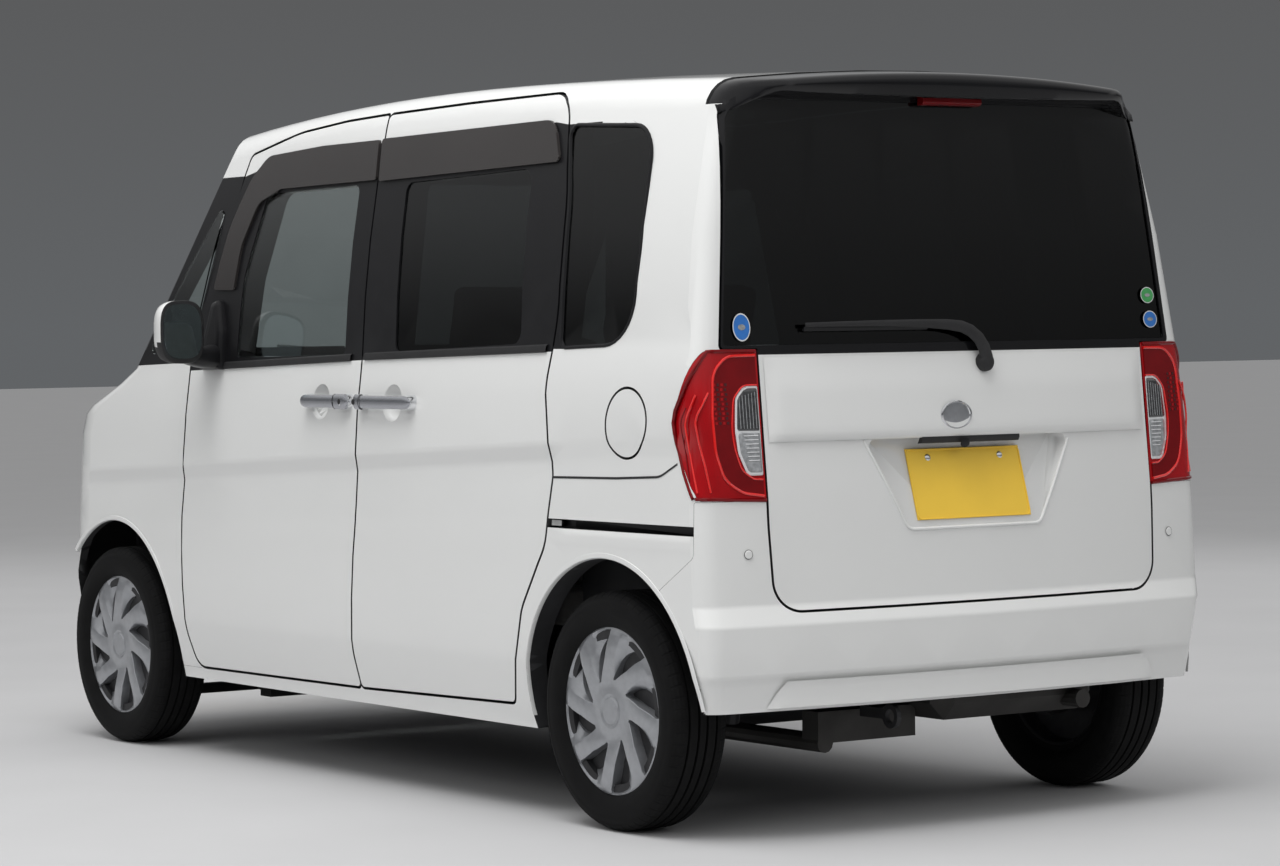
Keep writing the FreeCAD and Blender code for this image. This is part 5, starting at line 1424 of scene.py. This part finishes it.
def badge():
    """A plain oval of a ring and a disc."""
    def loops(profile):
        x = tail_at(0, 929) - 8.6
        return [[(x - off, *p) for p in circle(45, 931, r * 1.18, 48, 0.86 / 1.18)] for r, off in profile]

    ring = loops(((38, -2), (38, 1.5), (36, 3.2), (33, 3.2), (31.5, 1.5), (31, 0)))
    sweep("badge_ring", ring, "tailgate_lid", "chrome", caps=False)
    sweep("badge_disc", loops(((31.4, 0), (31.0, 0.8), (18, 2.0), (6, 2.4))), "tailgate_lid", "silver")


def stickers():
    """Three ovals inside the rear glass, each with a pale border and a plain middle."""
    for n, (y, z, a, b, inner) in enumerate(((595, 1136, 22, 31, "blue"), (-596, 1198, 23, 19, "green"),
                                             (-600, 1141, 24, 20, "blue"))):
        layers = ((1.0, 1.0, "lamp_white"), (0.90, 1.0, inner), (0.42, 0.5, "lamp_grey"))
        for k, (size, squash, material) in enumerate(layers):
            loop = circle(y, z, a * size, 32, b / a * squash)
            patch(f"sticker_{n}_{k}", loop, on_tail(0.2 + 0.25 * k), "tailgate_lid", material, 12.0)


def bumper_lip():
    """The lower band of the rear bumper, which stands out towards its foot."""
    def where(y, z):
        t = min(max((356 - z) / 59, 0), 1)
        fade = ease((566 - abs(y) - (z - 297) * 0.7) / 26)
        return (tail_at(y, z) - 0.5 - 9.0 * t * t * fade, y, z)

    loop = [(-566, 297), (566, 297), (545, 330), (522, 356), (-522, 356), (-545, 330)]
    patch("bumper_lip", loop, where, "car", "paint", 12.0)


def recess_lip():
    """The rounded edge of the plate's recess."""
    edge = open_line([(300, 880, 0), (192, 678, 26), (-192, 678, 26), (-300, 880, 0)], 8)
    path = [on_tail(-1.6)(*p) for p in dense(edge, 12)[:-1]]
    tube("recess_lip", path, 4.0, "tailgate_lid", "paint", up=(1, 0.02, 0.03))


# Cushions

SOFTNESS = (0.16, 0.075, 0.075)
WAIST = 0.06


def pad_point(p, size, crown, channels, waves):
    """A place on a crowned pad, from its place on a cube of half size 1."""
    q = p.copy()
    beyond = [max(0.0, abs(c) - (1 - soft * 2)) / (soft * 2) for c, soft in zip(p, SOFTNESS)]
    for k, soft in enumerate(SOFTNESS):
        a, b = beyond[(k + 1) % 3], beyond[(k + 2) % 3]
        q[k] *= 1 - soft * min(a**2 + b**2, 1.4) * 0.9
    x = q[0] * size[0] / 2
    if q[0] > 0:
        bulge = (1 - p[1] ** 2) * (1 - p[2] ** 2)
        x += crown * bulge**0.6
        x -= sum(deep * math.exp(-((p[axis] - place) / 0.035) ** 2) for axis, place, deep in channels)
        x += sum(s * math.sin(f * p[1] + g * p[2] + o) for f, g, o, s in waves) * 0.9 * bulge
    pull = WAIST * (1 - p[0] ** 2) * 0.6
    y = q[1] * size[1] / 2 * (1 - pull * (1 - p[2] ** 2))
    z = q[2] * size[2] / 2 * (1 - pull * (1 - p[1] ** 2))
    return x, y, z


def cushion(name, at, size, lean, crown, channels=(), piping=True, replaces=()):
    """A crowned, closed pad with seams, as deep, wide and long as size says, and leaning back."""
    tilt = math.radians(lean)

    def placed(x, y, z):
        return Vector((at[0] + x * math.cos(tilt) + z * math.sin(tilt), at[1] + y,
                       at[2] - x * math.sin(tilt) + z * math.cos(tilt)))

    bm = bmesh.new()
    bmesh.ops.create_cube(bm, size=1.0)
    bmesh.ops.subdivide_edges(bm, edges=bm.edges[:], cuts=26, use_grid_fill=True)
    rng = np.random.default_rng(len(name) * 7 + int(abs(at[1])))
    waves = [(rng.uniform(5, 13), rng.uniform(5, 13), rng.uniform(0, 6.28), rng.uniform(0.5, 1.1))
             for _ in range(5)]
    for vert in bm.verts:
        vert.co = placed(*pad_point(np.array(vert.co) * 2, size, crown, channels, waves)) * MM
    obj = add(name, soft_mesh(bm, name), "car", "fabric", replaces)
    if piping:
        x, a, b = (half * share for half, share in zip(np.array(size) / 2, (0.86, 0.93, 0.93)))
        edge = outline([(-a, -b, 30), (a, -b, 30), (a, b, 30), (-a, b, 30)], 6)
        loop = [placed(x, *p) for p in edge]
        tube(name + "_piping", loop + loop[:2], 3.0, "car", "cabin", sides=8, up=(0.3, 0.1, 1))


def front_seat(hand, word):
    """A seat of three cushions on a plain base."""
    y = hand * 330
    sides = ((1, 0.62, 6), (1, -0.62, 6))
    cushion(f"seat_cushion_{word}", (265, y, 491), (112, 470, 460), -90, 14, (*sides, (2, 0.1, 4)),
            replaces=("front_seats",))
    cushion(f"seat_back_{word}", (-92, y, 769), (114, 468, 600), -14, 12, (*sides, (2, -0.15, 4)))
    cushion(f"seat_head_{word}", (-186, y, 1163), (66, 250, 160), -14, 7, piping=False)
    for k, off in enumerate((-50, 50)):
        tube(f"seat_stem_{word}_{k}", [(-156, y + off, 1043), (-173, y + off, 1112)], 6, "car", "chrome")
    soft_box(f"seat_base_{word}", (85, y - 175, 246), (400, y + 175, 440), 18, "car", "cabin")


def bench_half(hand, word):
    """One half of the rear seat, with its head cushion."""
    sides = ((1, 0.5, 5), (1, -0.5, 5))
    cushion(f"bench_{word}", (-665, hand * 299, 484), (108, 592, 462), -90, 13, (*sides, (2, 0.0, 4)),
            replaces=("rear_seat",))
    cushion(f"bench_back_{word}", (-957, hand * 266, 756), (92, 524, 552), -10, 11, (*sides, (2, -0.2, 4)))
    cushion(f"bench_head_{word}", (-1021, hand * 330, 1113), (58, 244, 142), -10, 6, piping=False)


# Camera, light and floor

def link(obj):
    bpy.context.scene.collection.objects.link(obj)
    return obj


def make_camera():
    """The photo's own angle: place, yaw, pitch, roll and focal length."""
    camera = bpy.data.cameras.new("camera")
    camera.lens = 108.1
    camera.sensor_width = 36.0
    camera.clip_start = 0.1
    camera.clip_end = 200
    obj = link(bpy.data.objects.new("camera", camera))
    yaw, pitch, roll = math.radians(-34.308), math.radians(-1.67), math.radians(-0.78)
    ahead = Vector((math.cos(pitch) * math.cos(yaw), math.cos(pitch) * math.sin(yaw), math.sin(pitch)))
    level_right = ahead.cross(Vector((0, 0, 1))).normalized()
    level_up = level_right.cross(ahead)
    right = math.cos(roll) * level_right + math.sin(roll) * level_up
    up = -math.sin(roll) * level_right + math.cos(roll) * level_up
    pose = Matrix((right, up, -ahead)).transposed().to_4x4()
    pose.translation = Vector((-8.4465, 5.537, 1.153))
    obj.matrix_world = pose
    bpy.context.scene.camera = obj


def make_floor():
    """A plain floor, a hair under the tyres."""
    half, z = 60, -0.0005
    mesh = bpy.data.meshes.new("studio_floor")
    corners = [(-half, -half, z), (half, -half, z), (half, half, z), (-half, half, z)]
    mesh.from_pydata(corners, [], [(0, 1, 2, 3)])
    mesh.materials.append(FINISH["floor"])
    link(bpy.data.objects.new("studio_floor", mesh))


def make_world():
    """A grey studio that is darkest low down and pale above."""
    world = bpy.data.worlds.new("studio")
    bpy.context.scene.world = world
    world.use_nodes = True
    nodes, links = world.node_tree.nodes, world.node_tree.links
    where = nodes.new("ShaderNodeTexCoord")
    split = nodes.new("ShaderNodeSeparateXYZ")
    ramp = nodes.new("ShaderNodeValToRGB")
    links.new(where.outputs["Generated"], split.inputs["Vector"])
    links.new(split.outputs["Z"], ramp.inputs["Fac"])
    first, last = ramp.color_ramp.elements
    first.position, first.color = 0.0, (0.20, 0.21, 0.22, 1)
    last.position, last.color = 0.5, (1.0, 1.0, 1.0, 1)
    for place, grey in ((0.10, 0.17), (0.22, 0.56)):
        step = ramp.color_ramp.elements.new(place)
        step.color = (grey, grey * 1.01, grey * 1.03, 1)
    back = nodes["Background"]
    links.new(ramp.outputs["Color"], back.inputs["Color"])
    back.inputs["Strength"].default_value = 0.60


def soft_light(name, at, power, size, size_y):
    """A wide lamp that looks at the car and leaves no glint."""
    light = bpy.data.lights.new(name, "AREA")
    light.energy = power
    light.shape = "RECTANGLE"
    light.size = size
    light.size_y = size_y
    obj = link(bpy.data.objects.new(name, light))
    obj.location = at
    obj.rotation_euler = (Vector((0, 0, 0.9)) - Vector(at)).to_track_quat("-Z", "Y").to_euler()
    obj.visible_glossy = False


# Each light's place, power, width and height
LIGHTS = {
    "key_top": ((-1.5, 2.4, 7.0), 440, 5.0, 5.0),
    "fill_left": ((-3.0, 8.0, 4.2), 90, 6.0, 3.0),
    "fill_rear": ((-9.0, -1.0, 5.0), 70, 5.0, 3.0),
    "fill_right": ((3.0, -8.0, 4.2), 90, 6.0, 3.0),
    "fill_front": ((9.0, 1.0, 4.2), 100, 5.0, 3.0),
}


def make_lights():
    for name, light in LIGHTS.items():
        soft_light(name, *light)


make_body_skins()
make_door_skins()
make_other_skins()
make_plain()
for make in (belt_trim, quarter_moulding, quarter_seam, arch_edges, sensor, lamp_sheets, lamp_lines,
             lamp_cells, headlamp_pieces, intake_bars, fog_lamp, mirror_cap, mirror_pane, mirror_foot,
             handle_pieces, front_seat, bench_half):
    both(make)
for place in AXLE_X:
    both(lambda hand, word: wheel_pieces(place, hand, word))
for make in (make_ledge, make_spoiler, make_intake, rear_wiper, plate_trim, grip_and_camera, badge, stickers,
             bumper_lip, recess_lip, make_camera, make_floor, make_world, make_lights):
    make()
soft_box("bench_base", (-860, -500, 246), (-500, 500, 428), 18, "car", "cabin")
bpy.context.scene.view_settings.view_transform = "Standard"
bpy.context.scene.view_settings.look = "None"
